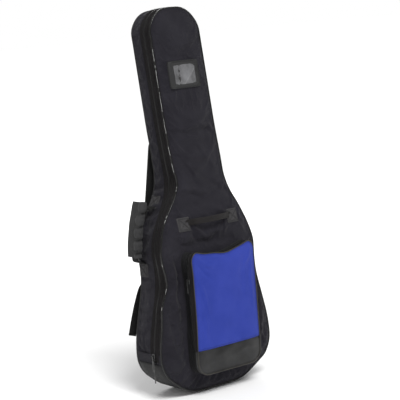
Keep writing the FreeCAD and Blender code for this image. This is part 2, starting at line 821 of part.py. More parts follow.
nodes["toe_pad"] = toe_pad

# --------------------------------------------------------- checks and export

doc.recompute()
for item in doc.Objects:
    if "Invalid" in item.State or "Error" in item.State:
        raise RuntimeError("%s did not compute" % item.Label)
for label, item in nodes.items():
    shape = item.Shape
    if shape.isNull() or not shape.isValid() or shape.Volume <= 0:
        raise RuntimeError("%s has no valid shape" % label)

os.makedirs("parts", exist_ok=True)
for label, item in nodes.items():
    item.Shape.exportStep("parts/%s.step" % label)

whole = FreeCAD.BoundBox()
for item in nodes.values():
    whole.add(item.Shape.BoundBox)
print("%d sub-parts, box %s" % (len(nodes), whole))
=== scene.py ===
"""Looks of the padded gig bag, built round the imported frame.

Metres, +Z up, the front of the bag faces -Y.  Every wall follows the same two
curves as the frame: the outline seen from the front, and the side profile
whose neck leans back.
"""
import json
import math

import bpy
import numpy as np
from mathutils import Matrix, Vector, kdtree, noise

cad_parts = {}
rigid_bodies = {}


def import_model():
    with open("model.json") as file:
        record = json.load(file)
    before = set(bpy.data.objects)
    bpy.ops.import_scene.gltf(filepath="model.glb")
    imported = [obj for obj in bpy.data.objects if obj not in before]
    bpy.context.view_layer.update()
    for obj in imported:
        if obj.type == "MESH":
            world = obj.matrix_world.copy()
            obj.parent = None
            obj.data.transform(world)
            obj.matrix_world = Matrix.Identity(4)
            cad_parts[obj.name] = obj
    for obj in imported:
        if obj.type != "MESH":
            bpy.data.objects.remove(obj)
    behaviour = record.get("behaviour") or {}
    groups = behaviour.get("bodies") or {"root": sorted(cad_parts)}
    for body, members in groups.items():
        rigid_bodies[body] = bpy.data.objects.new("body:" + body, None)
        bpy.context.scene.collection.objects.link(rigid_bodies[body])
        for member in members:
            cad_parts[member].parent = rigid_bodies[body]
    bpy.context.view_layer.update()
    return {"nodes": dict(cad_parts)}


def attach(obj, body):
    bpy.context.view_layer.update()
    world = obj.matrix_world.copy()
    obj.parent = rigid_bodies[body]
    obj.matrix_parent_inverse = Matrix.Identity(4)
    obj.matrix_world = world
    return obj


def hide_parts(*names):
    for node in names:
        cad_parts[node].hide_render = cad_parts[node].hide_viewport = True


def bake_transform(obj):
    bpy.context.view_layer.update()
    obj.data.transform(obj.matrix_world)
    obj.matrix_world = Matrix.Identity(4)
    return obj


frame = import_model()

# ------------------------------------------------------------ the two curves

HALF_OUTLINE = [(.100, .0015), (.193, .078), (.191, .161), (.152, .325),
                (.165, .425), (.084, .560), (.083, 1.0488)]
HALF_RADII = [.149, .088, .380, .274, .125, .163, .066]
LEAN_ANGLE = math.radians(7.6)
LEAN = math.tan(LEAN_ANGLE)
KNEE_RADIUS = .903
DEPTH = .110
NECK_HALF = .083
FOLD = .129
ZIP = .02745                    # depth of the zip behind the front face
LINING = .0113                  # depth of the lining behind the fabric
TAG_Z = .8675
HANDLE_X, HANDLE_Z = .084, .470
STRAP_OUT, STRAP_TOP = .042, .712
POCKET = dict(middle=.0035, half=.1115, low=.060, high=.395,
              top=.028, bottom=.036, face=-.1036)


def xyz(x, y, z):
    """Points from their three coordinates."""
    return np.stack(np.broadcast_arrays(x, y, z), axis=-1)


def run_of(line):
    """Distance along a line at each of its points."""
    steps = np.diff(line, axis=0)
    lengths = np.hypot(*steps.T) if steps.shape[1] == 2 else np.linalg.norm(steps, axis=1)
    return np.concatenate([[0], np.cumsum(lengths)])


def rounded_loop(points, radii, step):
    """Closed line through points listed anticlockwise, corners rounded, as
    an even run of (x, z, outward x, outward z)."""
    line = []
    count = len(points)
    for i in range(count):
        a, b, c = (Vector(points[k % count]) for k in (i - 1, i, i + 1))
        d0, d1 = (b - a).normalized(), (c - b).normalized()
        turn = math.atan2(d0.cross(d1), d0.dot(d1))
        cut = radii[i] * math.tan(abs(turn) / 2)
        start = b - d0 * cut
        side = Vector((-d0.y, d0.x)) * (1 if turn > 0 else -1)
        centre = start + side * radii[i]
        spoke = start - centre
        parts = max(2, int(abs(turn) * radii[i] / .001))
        for k in range(parts + 1):
            angle = turn * k / parts
            line.append((centre.x + spoke.x * math.cos(angle) - spoke.y * math.sin(angle),
                         centre.y + spoke.x * math.sin(angle) + spoke.y * math.cos(angle)))
    line = np.array(line + line[:1])
    run = run_of(line)
    where = np.linspace(0, run[-1], int(run[-1] / step) + 1)[:-1]
    x, z = (np.interp(where, run, line[:, k]) for k in (0, 1))
    tx, tz = (np.roll(v, -1) - np.roll(v, 1) for v in (x, z))
    length = np.hypot(tx, tz)
    return np.column_stack([x, z, tz / length, -tx / length])


def start_at_bottom(loop):
    """The loop turned to start at the middle of its lowest run."""
    low = np.where(loop[:, 1] < loop[:, 1].min() + 1e-5)[0]
    return np.roll(loop, -low[np.argmin(abs(loop[low, 0]))], axis=0)


BAG = start_at_bottom(rounded_loop(
    HALF_OUTLINE + [(-x, z) for x, z in reversed(HALF_OUTLINE)],
    HALF_RADII + HALF_RADII[::-1], .004))
right_side = BAG[:int(np.argmax(BAG[:, 1]))]


def half_width(z):
    """Half width of the bag at a height."""
    return np.interp(z, right_side[:, 1], right_side[:, 0])


def profile(z, start, knee):
    """Y of the front or the back at a height."""
    z = np.asarray(z, float)
    z0 = knee - KNEE_RADIUS * math.tan(LEAN_ANGLE / 2)
    z1 = z0 + KNEE_RADIUS * math.sin(LEAN_ANGLE)
    arc = start + KNEE_RADIUS - np.sqrt(KNEE_RADIUS ** 2 - np.clip(z - z0, 0, z1 - z0) ** 2)
    return np.where(z < z1, arc, start + (z - knee) * LEAN)


def front_y(z):
    return profile(z, -DEPTH / 2, .430)


def back_y(z):
    return profile(z, DEPTH / 2, .620)


def distance_to(line):
    """Function that says how far points are from a line of (x, z)."""
    tree = kdtree.KDTree(len(line))
    for number, (x, z) in enumerate(line[:, :2]):
        tree.insert((x, 0, z), number)
    tree.balance()

    def distance(x, z):
        x, z = np.broadcast_arrays(np.asarray(x, float), np.asarray(z, float))
        found = [tree.find((a, 0, b))[2] for a, b in zip(x.ravel(), z.ravel())]
        return np.array(found).reshape(x.shape)
    return distance


edge_distance = distance_to(BAG)


def puff(distance, reach):
    """0 at a seam rising to 1, as a stuffed edge does."""
    t = np.clip(distance / reach, 0, 1)
    return 1 - (1 - t) ** 2.4


def step_up(value, low, high):
    """Smooth 0 to 1 between two values."""
    t = np.clip((value - low) / (high - low), 0, 1)
    return t * t * (3 - 2 * t)


def cloudy(points, scale, seed):
    """Smooth noise in -1..1 at points."""
    flat = np.asarray(points, float).reshape(-1, 3) * scale + seed
    return np.array([noise.noise(p) for p in flat.tolist()]).reshape(np.shape(points)[:-1])


# (height, reach, shift in x) of the front edges, which have settled out of true
LEFT_SETTLED = [(.575, .035, .008), (.480, .040, -.008), (.385, .035, -.005),
                (.312, .025, .0045), (.255, .035, -.007)]
RIGHT_SETTLED = [(.440, .050, -.010)]


def settle(points):
    """Points of cloth moved as a carried bag's cloth settles."""
    moved = np.array(points, float)
    x, z = moved[..., 0].copy(), moved[..., 2].copy()
    depth = moved[..., 1] - front_y(z)
    front = (1 - step_up(depth, 0, .050)) * step_up(depth, -.035, -.012)
    share = x / np.maximum(half_width(z), NECK_HALF)
    moved[..., 0] -= .0035 * step_up(z, .60, .75)               # the neck hangs over to one side
    for side, places in ((-1, LEFT_SETTLED), (1, RIGHT_SETTLED)):
        weight = front * step_up(side * share, .70, 1)
        for height, reach, shift in places:
            moved[..., 0] += weight * shift * np.exp(-((z - height) / reach) ** 2)
    crown = step_up(z, .960, 1.040) * share ** 2                # round corners of the head
    moved[..., 2] -= .0055 * crown
    moved[..., 0] -= .0014 * crown * np.sign(x)
    # the head end slopes down to the back, and the toe's front edge is pushed up
    moved[..., 2] -= .0090 * np.clip(depth / DEPTH, 0, 1) * step_up(z, .940, 1.045)
    low = 1 - step_up(z, .010, .065)
    moved[..., 2] += front * low * (.0055 * step_up(x, -.12, -.03) + .0055 * step_up(x, .08, .15))
    return moved


def ridge(u, v, line, width, height):
    """A fold along a line of (u, v) points, fading at both ends."""
    best = np.full(np.shape(u), 9.0)
    along = np.zeros(np.shape(u))
    ends = np.array(line, float)
    total = len(ends) - 1
    for k in range(total):
        d = ends[k + 1] - ends[k]
        t = np.clip(((u - ends[k, 0]) * d[0] + (v - ends[k, 1]) * d[1]) / (d @ d), 0, 1)
        away = np.hypot(u - ends[k, 0] - t * d[0], v - ends[k, 1] - t * d[1])
        along = np.where(away < best, (k + t) / total, along)
        best = np.minimum(best, away)
    return height * np.exp(-(best / width) ** 2) * np.sin(np.pi * np.clip(along, .02, .98)) ** .7


# ------------------------------------------------------------------- meshes

def new_object(name, data):
    """Object of some data, in the scene."""
    thing = bpy.data.objects.new(name, data)
    bpy.context.scene.collection.objects.link(thing)
    return thing


def new_mesh(name, points, faces):
    mesh = bpy.data.meshes.new(name)
    mesh.from_pydata(points, [], faces)
    return new_object(name, mesh)


def grid(name, points, wrap_rows=False, wrap_columns=False, flip=False):
    """Smooth mesh through a (rows, columns, 3) array, with a UV map in metres."""
    points = settle(points)
    rows, columns = points.shape[:2]
    number = ((np.arange(rows + wrap_rows) % rows)[:, None] * columns
              + np.arange(columns + wrap_columns) % columns)
    flat = points.reshape(-1, 3)
    full = flat[number]
    across, along = (np.linalg.norm(np.diff(full, axis=axis), axis=2) for axis in (1, 0))
    u = np.pad(np.cumsum(across, axis=1), ((0, 0), (1, 0)))
    u = u - u[:, -1:] / 2
    v = np.concatenate([[0], np.cumsum(along.mean(axis=1))])[:, None] + np.zeros(u.shape)
    cut = slice(None, -1), slice(1, None)
    spots = [(cut[a], cut[b]) for a, b in ((0, 0), (0, 1), (1, 1), (1, 0))]
    if flip:
        spots = spots[::-1]
    thing = new_mesh(name, flat.tolist(),
                     np.stack([number[s].ravel() for s in spots], axis=1).tolist())
    uv = np.stack([np.stack([u[s].ravel(), v[s].ravel()], axis=1) for s in spots], axis=1)
    layer = thing.data.uv_layers.new(name="Cloth")
    layer.data.foreach_set("uv", uv.astype(np.float32).ravel())
    thing.data.shade_smooth()
    return thing


def unit(v):
    """Vectors at length 1."""
    v = np.asarray(v, float)
    return v / np.maximum(np.linalg.norm(v, axis=-1, keepdims=True), 1e-9)


def smooth_path(points, count):
    """Even points along a smooth curve through a few points."""
    points = np.asarray(points, float)
    padded = np.vstack([2 * points[0] - points[1], points, 2 * points[-1] - points[-2]])
    out = []
    for k in range(1, len(padded) - 2):
        p0, p1, p2, p3 = padded[k - 1:k + 3]
        for t in np.linspace(0, 1, 24, endpoint=False):
            out.append(.5 * (2 * p1 + (p2 - p0) * t + (2 * p0 - 5 * p1 + 4 * p2 - p3) * t ** 2
                             + (3 * p1 - p0 - 3 * p2 + p3) * t ** 3))
    out = np.array(out + [points[-1]])
    run = run_of(out)
    where = np.linspace(0, run[-1], count)
    return np.column_stack([np.interp(where, run, out[:, k]) for k in range(3)])


def section(width, thick, power, count):
    """Rounded rectangle as a superellipse, (count, 2)."""
    a = np.linspace(0, 2 * np.pi, count, endpoint=False) + np.pi / count
    c, s = np.cos(a), np.sin(a)
    return np.column_stack([np.sign(c) * abs(c) ** (2 / power) * width / 2,
                            np.sign(s) * abs(s) ** (2 / power) * thick / 2])


def sweep(name, path, up, shape, closed=False):
    """Shape swept along a path; up is its thickness direction at each point."""
    path = np.asarray(path, float)
    if closed:
        tangent = unit(np.roll(path, -1, axis=0) - np.roll(path, 1, axis=0))
    else:
        tangent = unit(np.gradient(path, axis=0))
    up = np.broadcast_to(np.asarray(up, float), path.shape)
    up = unit(up - tangent * (up * tangent).sum(axis=1, keepdims=True))
    side = np.cross(tangent, up)
    shape = np.broadcast_to(shape, (len(path),) + np.shape(shape)[-2:])
    points = path[:, None] + side[:, None] * shape[..., :1] + up[:, None] * shape[..., 1:]
    if not closed:          # both ends drawn in to close them
        first, last = (np.broadcast_to(end, (1,) + points.shape[1:]) for end in path[[0, -1]])
        points = np.concatenate([first, points, last])
    return grid(name, points, wrap_rows=closed, wrap_columns=True)


def tube(name, path, radius, closed=False, sides=10):
    """Round tube along a path."""
    path = np.asarray(path, float)
    tangent = np.gradient(path, axis=0).mean(axis=0)
    up = (0, 1, 0) if abs(unit(tangent)[1]) < .8 else (0, 0, 1)
    return sweep(name, path, up, section(2 * radius, 2 * radius, 2, sides), closed)


def sewn_groove(x, z, width, height, cross=True):
    """How deep the box of stitches and its cross press into a patch, 0 to 1."""
    w, h = width / 2, height / 2
    away = np.hypot(np.clip(abs(x) - w, 0, None), np.clip(abs(z) - h, 0, None))
    away = np.where(away > 0, away, np.minimum(w - abs(x), h - abs(z)))
    if cross:
        inside = (abs(x) < w) & (abs(z) < h)
        for way in (-1, 1):
            diagonal = abs(x * h + way * z * w) / math.hypot(w, h)
            away = np.where(inside, np.minimum(away, diagonal), away)
    return np.exp(-(away / .0014) ** 2)


def raised(name, place, width, height, thick, columns=52, cross=True):
    """Patch with turned-down edges; place(u, v, h) gives points in space."""
    corner, hem = .15, .004
    u, v = np.meshgrid(np.linspace(-1, 1, columns), np.linspace(-1, 1, 52))
    over_u, over_v = (np.maximum(abs(w) - (1 - corner), 0) for w in (u, v))
    over = np.hypot(over_u, over_v)
    pull_in = np.maximum(over - corner, 0) / np.maximum(over, 1e-9)
    x = (u - np.sign(u) * over_u * pull_in) * width / 2
    z = (v - np.sign(v) * over_v * pull_in) * height / 2
    inside = np.minimum(width / 2 - abs(x), height / 2 - abs(z))
    h = thick * (1 - np.clip(1 - inside / hem, 0, 1) ** 3)
    h = h - thick * .80 * sewn_groove(x, z, width - .008, height - .008, cross)
    points = np.pad(place(x, z, h * 0 - .002), ((1, 1), (1, 1), (0, 0)), mode="edge")
    points[1:-1, 1:-1] = place(x, z, h)
    return grid(name, points)


class Threads:
    """Stitches collected into one mesh."""

    def __init__(self, name):
        self.name, self.points, self.faces = name, [], []

    def run(self, path, up, pitch=.0034, length=.0026, radius=.00045):
        """A row of stitches along a path that lies on a surface."""
        path = np.asarray(path, float)
        run = run_of(path)
        count = max(1, int(run[-1] / pitch))
        centre = np.linspace(0, run[-1], count, endpoint=False) + pitch / 2
        up = np.broadcast_to(np.asarray(up, float), path.shape)

        def at(values, where):
            return np.column_stack([np.interp(where, run, values[:, k]) for k in range(3)])

        a, b, n = at(path, centre - length / 2), at(path, centre + length / 2), unit(at(up, centre))
        side = unit(np.cross(b - a, n)) * radius
        middle = (a + b) / 2 + n * radius
        for k in range(count):
            base = len(self.points)
            self.points += [a[k] - n[k] * radius, b[k] - n[k] * radius, middle[k] + side[k],
                            middle[k] - side[k], middle[k] + n[k] * radius]
            self.faces += [(base, base + 2, base + 4), (base + 2, base + 1, base + 4),
                           (base + 1, base + 3, base + 4), (base + 3, base, base + 4)]

    def teeth(self, centre, along, out, size):
        """Small blocks, for zip teeth; size is (along, in Y, out)."""
        b = np.array([0, size[1] / 2, 0])
        for c, a, n in zip(centre, along * size[0] / 2, out * size[2] / 2):
            base = len(self.points)
            for i in (-1, 1):
                for j in (-1, 1):
                    self.points += [c + a * i + b * j - n, c + a * i * .6 + b * j * .9 + n]
            self.faces += [tuple(base + k for k in f) for f in
                           ((0, 2, 3, 1), (4, 5, 7, 6), (0, 1, 5, 4), (2, 6, 7, 3), (1, 3, 7, 5))]

    def build(self):
        return new_mesh(self.name, settle(self.points).tolist(), self.faces)


def read_points(mesh, what="co"):
    """Places or normals of a mesh's points."""
    found = np.empty(len(mesh.vertices) * 3)
    mesh.vertices.foreach_get(what, found)
    return found.reshape(-1, 3)


def drape(thing, held, slack, push, most, least, steps=13):
    """Cloth pass: a sheet with some slack buckles between the places it is held.

    held is a weight for each point, 1 where it is sewn down; most is how far a
    point may move, and least how far along the inward normal."""
    mesh = thing.data
    start, outward = read_points(mesh), read_points(mesh, "normal")
    group = thing.vertex_groups.new(name="held")
    held = np.clip(np.ravel(held), 0, 1)
    for level in np.unique(np.round(held, 2)):
        if level > 0:
            group.add(np.where(np.round(held, 2) == level)[0].tolist(), float(level), "REPLACE")
    cloth = thing.modifiers.new("Cloth", "CLOTH")
    settings = cloth.settings
    settings.quality, settings.mass, settings.air_damping = 4, .2, 3
    settings.tension_stiffness = settings.compression_stiffness = 20
    settings.shear_stiffness, settings.bending_stiffness = 8, .12
    settings.vertex_group_mass, settings.pin_stiffness = "held", 1
    settings.shrink_min = -slack
    settings.use_pressure, settings.uniform_pressure_force = True, push
    settings.effector_weights.gravity = .3
    cloth.collision_settings.use_collision = False
    cloth.point_cache.frame_start, cloth.point_cache.frame_end = 1, steps
    for step in range(1, steps + 1):
        bpy.context.scene.frame_set(step)
    draped = thing.evaluated_get(bpy.context.evaluated_depsgraph_get()).data
    move = read_points(draped) - start
    thing.modifiers.remove(cloth)
    thing.vertex_groups.clear()
    bpy.context.scene.frame_set(1)
    inward = (move * outward).sum(axis=1, keepdims=True)
    move = move + outward * (np.clip(inward, -least, None) - inward)    # the foam stops it
    size = np.linalg.norm(move, axis=1, keepdims=True)
    move = move * np.tanh(size / most) * most / np.maximum(size, 1e-9)
    mesh.vertices.foreach_set("co", (start + move).ravel())
    mesh.update()


# ---------------------------------------------------------------- materials

looks = {}


class Look:
    """A principled material, listed in looks, and short ways to add nodes to it."""

    def __init__(self, name, roughness=.6, **sockets):
        looks[name] = self
        self.material = bpy.data.materials.new(name)
        self.material.use_nodes = True
        self.tree = self.material.node_tree
        self.shader = self.tree.nodes["Principled BSDF"]
        self.shader.inputs["Roughness"].default_value = roughness
        for socket, value in sockets.items():
            self.shader.inputs[socket.replace("_", " ")].default_value = value
        self.objects = self.node("ShaderNodeTexCoord").outputs["Object"]
        cloth = self.node("ShaderNodeUVMap")
        cloth.uv_map = "Cloth"
        self.cloth = cloth.outputs[0]
        self.height = None

    def node(self, kind, **settings):
        made = self.tree.nodes.new(kind)
        for key, value in settings.items():
            if hasattr(made, key):
                setattr(made, key, value)
            else:
                made.inputs[key.replace("_", " ")].default_value = value
        return made

    def link(self, out, into):
        self.tree.links.new(out, into)

    def math(self, operation, a, b=None):
        made = self.node("ShaderNodeMath", operation=operation)
        for socket, value in zip(made.inputs, (a, b)):
            if value is None:
                continue
            if isinstance(value, (int, float)):
                socket.default_value = value
            else:
                self.link(value, socket)
        return made.outputs[0]

    def split(self, vector):
        """The three parts of a vector."""
        made = self.node("ShaderNodeSeparateXYZ")
        self.link(vector, made.inputs[0])
        return made.outputs

    def apart(self, a, b):
        return self.math("ABSOLUTE", self.math("SUBTRACT", a, b))

    def cloud(self, scale, detail=3):
        """Noise in metres across the whole bag."""
        made = self.node("ShaderNodeTexNoise", Scale=scale, Detail=detail)
        self.link(self.objects, made.inputs["Vector"])
        return made.outputs["Fac"]

    def cells(self, scale):
        """Cell pattern for leather grain."""
        made = self.node("ShaderNodeTexVoronoi", Scale=scale, feature="SMOOTH_F1")
        self.link(self.objects, made.inputs["Vector"])
        return made.outputs["Distance"]

    def ribs(self, along, pitch):
        """Even waves along one coordinate."""
        return self.math("SINE", self.math("MULTIPLY", along, 2 * math.pi / pitch))

    def weave(self, across, along, twill=0.0):
        """Over and under threads on the cloth's own map."""
        u, v = self.split(self.cloth)[:2]
        if twill:
            u = self.math("ADD", u, self.math("MULTIPLY", v, twill))
        return self.math("MULTIPLY", self.ribs(u, across), self.ribs(v, along))

    def tint(self, fac, dark, light, low=.3, high=.7):
        """Colour between two tones."""
        ramp = self.node("ShaderNodeValToRGB")
        for element, at, tone in zip(ramp.color_ramp.elements, (low, high), (dark, light)):
            element.position, element.color = at, (*tone, 1)
        self.link(fac, ramp.inputs[0])
        self.link(ramp.outputs[0], self.shader.inputs["Base Color"])

    def rough(self, fac, low, high):
        """Roughness between two values."""
        made = self.node("ShaderNodeMapRange", To_Min=low, To_Max=high)
        self.link(fac, made.inputs["Value"])
        self.link(made.outputs[0], self.shader.inputs["Roughness"])

    def painted_glints_at(self, places, middle, half, dark, pale):
        """Painted highlight: thin pale glint streaks at some heights, (height, half length), along
        the cloth's map.
        """
        height, along = self.split(self.objects)[2], self.split(self.cloth)[0]
        total = self.math("SUBTRACT", self.cloud(90, 3), .5)
        for at, reach in places:
            streak = self.math("LESS_THAN", self.apart(height, at), reach)
            total = self.math("ADD", total, streak)
        narrow = self.math("LESS_THAN", self.apart(along, middle), half)
        self.tint(self.math("MULTIPLY", total, narrow), dark, pale, .84, 1.12)

    def painted_crease_shade(self, rate, phase, dark, pale):
        """Painted shade in the creases between puffs that repeat up the bag."""
        turn = self.math("ADD", self.math("MULTIPLY", self.split(self.objects)[2], rate), phase)
        self.tint(self.math("ABSOLUTE", self.math("SINE", turn)), dark, pale, .02, .42)

    def painted_reflection_and_wrinkle_shade(self, place, lean, middle, dark, pale):
        """Film with a cloudy painted reflection and painted shade along one wrinkle; lean is its
        slope in x over z.
        """
        x, _, z = self.split(self.objects)
        sway = self.math("MULTIPLY", self.math("SUBTRACT", self.cloud(110, 2), .5), .012)
        slope = self.math("MULTIPLY", self.math("SUBTRACT", z, middle), lean)
        away = self.apart(self.math("ADD", x, sway), self.math("ADD", slope, place))
        clear = self.math("MINIMUM", self.math("MULTIPLY", away, 420), 1.0)
        self.tint(self.math("MULTIPLY", self.cloud(34, 4), clear), dark, pale, .10, .68)

    def bump(self, height, strength, distance):
        """Adds a layer of bump."""
        made = self.node("ShaderNodeBump", Strength=strength, Distance=distance)
        self.link(height, made.inputs["Height"])
        if self.height is not None:
            self.link(self.height, made.inputs["Normal"])
        self.height = made.outputs[0]
        self.link(self.height, self.shader.inputs["Normal"])


def grey(value, red=0.0, blue=0.0):
    return (value + red, value, value + blue)


def fabric(name, dark, light, across, along, strength, sheen=.06, specular=.16, twill=0.0):
    look = Look(name, .85, Specular_IOR_Level=specular, Sheen_Weight=sheen, Sheen_Roughness=.45)
    weave = look.weave(across, along, twill)
    blotches = look.cloud(14, 4)
    look.tint(look.math("ADD", look.math("MULTIPLY", weave, .12), blotches), dark, light)
    look.rough(look.cloud(40, 2), .74, .95)
    look.bump(look.cloud(220, 3), .18, .0006)
    look.bump(weave, strength, .0004)
    return look


def vinyl(name, dark, light, low, high, grain):
    look = Look(name, .4, Specular_IOR_Level=.36, Coat_Roughness=.3)
    look.tint(look.cloud(18, 5), dark, light)
    look.rough(look.cloud(30, 4), low, high)
    look.bump(look.cells(grain), .35, .0006)
    look.bump(look.cloud(60, 3), .25, .001)
    return look


def mottled(name, scale, detail, dark, light, roughness, **sockets):
    look = Look(name, roughness, **sockets)
    look.tint(look.cloud(scale, detail), dark, light)
    return look


fabric("nylon", grey(.0100, .0010, .0045), grey(.0175, .0012, .0060), .0011, .0011, .5)
# darker copy of the nylon: painted shade for the pocket's sunken, folded side
fabric("pocket_side_shaded_nylon", grey(.004, 0, .0006), grey(.0085, 0, .0012), .0011, .0011, .5)
look = fabric("webbing", grey(.005), grey(.010), .0016, .0028, .9)
look.bump(look.ribs(look.split(look.cloth)[0], .0042), .5, .0006)
fabric("grip_web", grey(.009, .0014, 0), grey(.017, .0018, 0), .0016, .0028, .9)
fabric("grey_web", grey(.036, .0015, .002), grey(.056, .0015, .002), .0016, .0022, .8)
fabric("zip_tape", grey(.0040, .0010, .0004), grey(.0085, .0014, .0006), .0009, .0018, .7, twill=.6)
fabric("lining", grey(.045), grey(.075), .0016, .0016, .5, sheen=.6, specular=.1)
fabric("grip_wrap", grey(.016), grey(.026, 0, .001), .0012, .0012, .5, specular=.25)
# the wrap's puffed edge: painted shade darkens the creases between its puffs
look = fabric("wrap_edge", grey(.018), grey(.044, 0, .001), .0012, .0012, .5, specular=.25)
look.painted_crease_shade(-90.1, 48.8, grey(.002), grey(.034, 0, .001))
fabric("strap_mesh", grey(.007), grey(.014), .0030, .0026, 1.0)
fabric("pocket_blue", (.018, .036, .262), (.029, .049, .320), .0009, .0009, .35,
       specular=.2, twill=1.0)

vinyl("vinyl", grey(.0005), grey(.022), .36, .62, 750)
look = vinyl("scuff_vinyl", grey(.004), grey(.013, 0, .001), .60, .78, 650)
look.bump(look.cloud(180, 4), .6, .0012)
vinyl("tag_vinyl", grey(.011), grey(.022, 0, .001), .42, .58, 800)
vinyl("piping", grey(.005), grey(.009), .45, .6, 900)
# front piping with painted highlight: pale glint streaks in a thin line along one side of the tube
vinyl("piping_painted_glints", grey(.005), grey(.009), .1, .3, 900).painted_glints_at(
    [(.256, .004), (.300, .007), (.371, .004), (.486, .004), (.497, .003), (.565, .006),
     (.622, .012), (.668, .012), (.735, .020), (.800, .026), (.868, .030), (.925, .016)],
    .0002, .0006, grey(.0025), grey(.34))
vinyl("pocket_cord", grey(.014, .002, -.003), grey(.028, .003, -.005), .3, .5, 900)
vinyl("toe_rubber", grey(.02), grey(.03), .6, .75, 500)

# the window's clear film: its pale cloudy tone is a painted reflection of the bright studio, and
# one dark line is painted shade along its wrinkle
look = Look("clear_window", .16, Specular_IOR_Level=.7, Coat_Weight=.6, Coat_Roughness=.12)
look.painted_reflection_and_wrinkle_shade(-.021, .03, TAG_Z, grey(.008), grey(.150, 0, .008))
look.rough(look.cloud(22, 2), .10, .30)
look.bump(look.cloud(60, 3), .5, .003)

mottled("zip_coil", 300, 2, grey(.009), grey(.018), .45, Specular_IOR_Level=.45)
look = mottled("buckle", 60, 3, grey(.010), grey(.016), .45, Specular_IOR_Level=.5)
look.bump(look.cloud(900, 2), .2, .0003)
look = mottled("nickel", 120, 3, grey(.05), grey(.12), .28, Metallic=1.0)
look.rough(look.cloud(260, 3), .30, .46)
look = mottled("dark_metal", 120, 3, grey(.05), grey(.10), .45, Metallic=1.0)
look.rough(look.cloud(260, 3), .36, .55)
mottled("thread", 500, 2, grey(.010), grey(.020), .8, Specular_IOR_Level=.2)


# looks that share another look's slot in the record
SLOTS = {"pocket_side_shaded_nylon": "nylon", "wrap_edge": "grip_wrap", "grip_web": "webbing",
         "pocket_cord": "piping", "piping_painted_glints": "piping", "dark_metal": "nickel"}


def finish_piece(thing, look, stands_for=()):
    """Material and the CAD nodes the piece stands for."""
    thing.data.materials.clear()
    thing.data.materials.append(looks[look].material)
    if look != "thread":
        SLOTS.get(look, look)
    if stands_for:
        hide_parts(*stands_for)
    return thing


# -------------------------------------------------------- front and back face

FRONT_FOLDS = [
    # (line of (x, z), width, height): creases and swells of the loose cloth
    ([(-.078, .728), (-.030, .722), (.020, .733), (.060, .724), (.080, .700)], .0055, .0050),
    ([(-.074, .714), (-.010, .709), (.050, .716), (.074, .690)], .007, -.0034),
    ([(-.060, .690), (-.020, .700), (.030, .694)], .006, .0026),
    ([(-.095, .548), (-.070, .562), (-.035, .558), (-.005, .545)], .006, .0045),
    ([(-.090, .534), (-.040, .545), (.000, .532)], .008, -.0034),
    ([(.030, .580), (.070, .566), (.108, .530)], .006, .0042),
    ([(.040, .560), (.085, .540), (.118, .505)], .008, -.0030),
    ([(-.140, .512), (-.090, .494), (-.040, .452), (-.010, .420)], .008, .0036),
    ([(-.135, .486), (-.080, .462), (-.040, .424)], .008, -.0030),
    ([(.020, .505), (.080, .475), (.130, .415)], .008, .0038),
    ([(.060, .505), (.110, .470), (.145, .430)], .007, .0030),
    ([(-.146, .425), (-.126, .350), (-.134, .270), (-.124, .200)], .008, .0052),
    ([(-.136, .400), (-.118, .340), (-.122, .260)], .006, -.0040),
    ([(-.128, .300), (-.152, .210), (-.140, .150)], .009, -.0040),
    ([(-.170, .200), (-.150, .130), (-.110, .070)], .010, .0032),
    ([(.126, .385), (.138, .300), (.130, .200)], .008, .0046),
    ([(.150, .350), (.160, .260), (.150, .170)], .009, -.0036),
    ([(.160, .200), (.150, .120), (.110, .060)], .010, .0030),
    ([(-.060, .640), (-.015, .655), (.050, .640)], .009, .0024),
    ([(.000, .690), (.030, .640), (.060, .600)], .008, .0022),
    ([(-.060, .800), (.010, .792), (.062, .806)], .010, .0022),
    ([(-.055, .955), (.000, .948), (.060, .962)], .010, .0022),
    ([(-.040, .775), (.000, .745), (.050, .752)], .008, .0020),
    ([(-.132, .455), (-.110, .440), (-.070, .436)], .0035, .0022),
    ([(-.128, .440), (-.100, .418), (-.080, .414)], .0040, -.0020),
    ([(-.150, .330), (-.134, .318), (-.126, .290)], .0040, .0022),
    ([(-.120, .255), (-.140, .240), (-.150, .215)], .0040, .0020),
    ([(-.100, .530), (-.092, .505), (-.110, .490)], .0035, .0022),
    ([(.110, .500), (.100, .480), (.112, .455)], .0035, .0022),
    ([(-.020, .560), (.010, .548), (.040, .556)], .0040, .0018),
    ([(-.125, .405), (-.060, .412), (.020, .414), (.120, .402)], .018, -.0060),
    ([(-.120, .400), (-.121, .300), (-.120, .200), (-.116, .090)], .011, -.0050),
]


# places on the front where something is sewn on: (x, z, half width, half height)
SEWN_ON = [(-HANDLE_X, HANDLE_Z, .019, .019), (HANDLE_X, HANDLE_Z, .019, .019),
           (0, TAG_Z, .052, .0375)]


def sewn_down(x, z, reach=.012):
    """1 under a patch or the tag, falling to 0 a little way outside it."""
    found = np.zeros(np.shape(x))
    for x0, z0, half, tall in SEWN_ON:
        away = np.hypot(np.clip(abs(x - x0) - half, 0, None), np.clip(abs(z - z0) - tall, 0, None))
        found = np.maximum(found, 1 - step_up(away, 0, reach))
    return found


def front_surface(x, z, painted_crease_shade=True):
    """Y of the front face's cloth."""
    x, z = np.broadcast_arrays(np.asarray(x, float), np.asarray(z, float))
    d = edge_distance(x, z)
    swell = .0085 * puff(d, .050) + .0035 * puff(d, .120)
    if painted_crease_shade:
        calm = puff(d, .030) * (1 - sewn_down(x, z))
        here = xyz(x, 0, z)
        swell = swell + calm * (.0022 * cloudy(here, 11, 3.1) + .0014 * cloudy(here, 26, 7.7)
                                + .0006 * cloudy(here, 60, 5.2))
        for line, width, height in FRONT_FOLDS:
            swell = swell + calm * ridge(x, z, line, width, height)
    return front_y(z) - swell


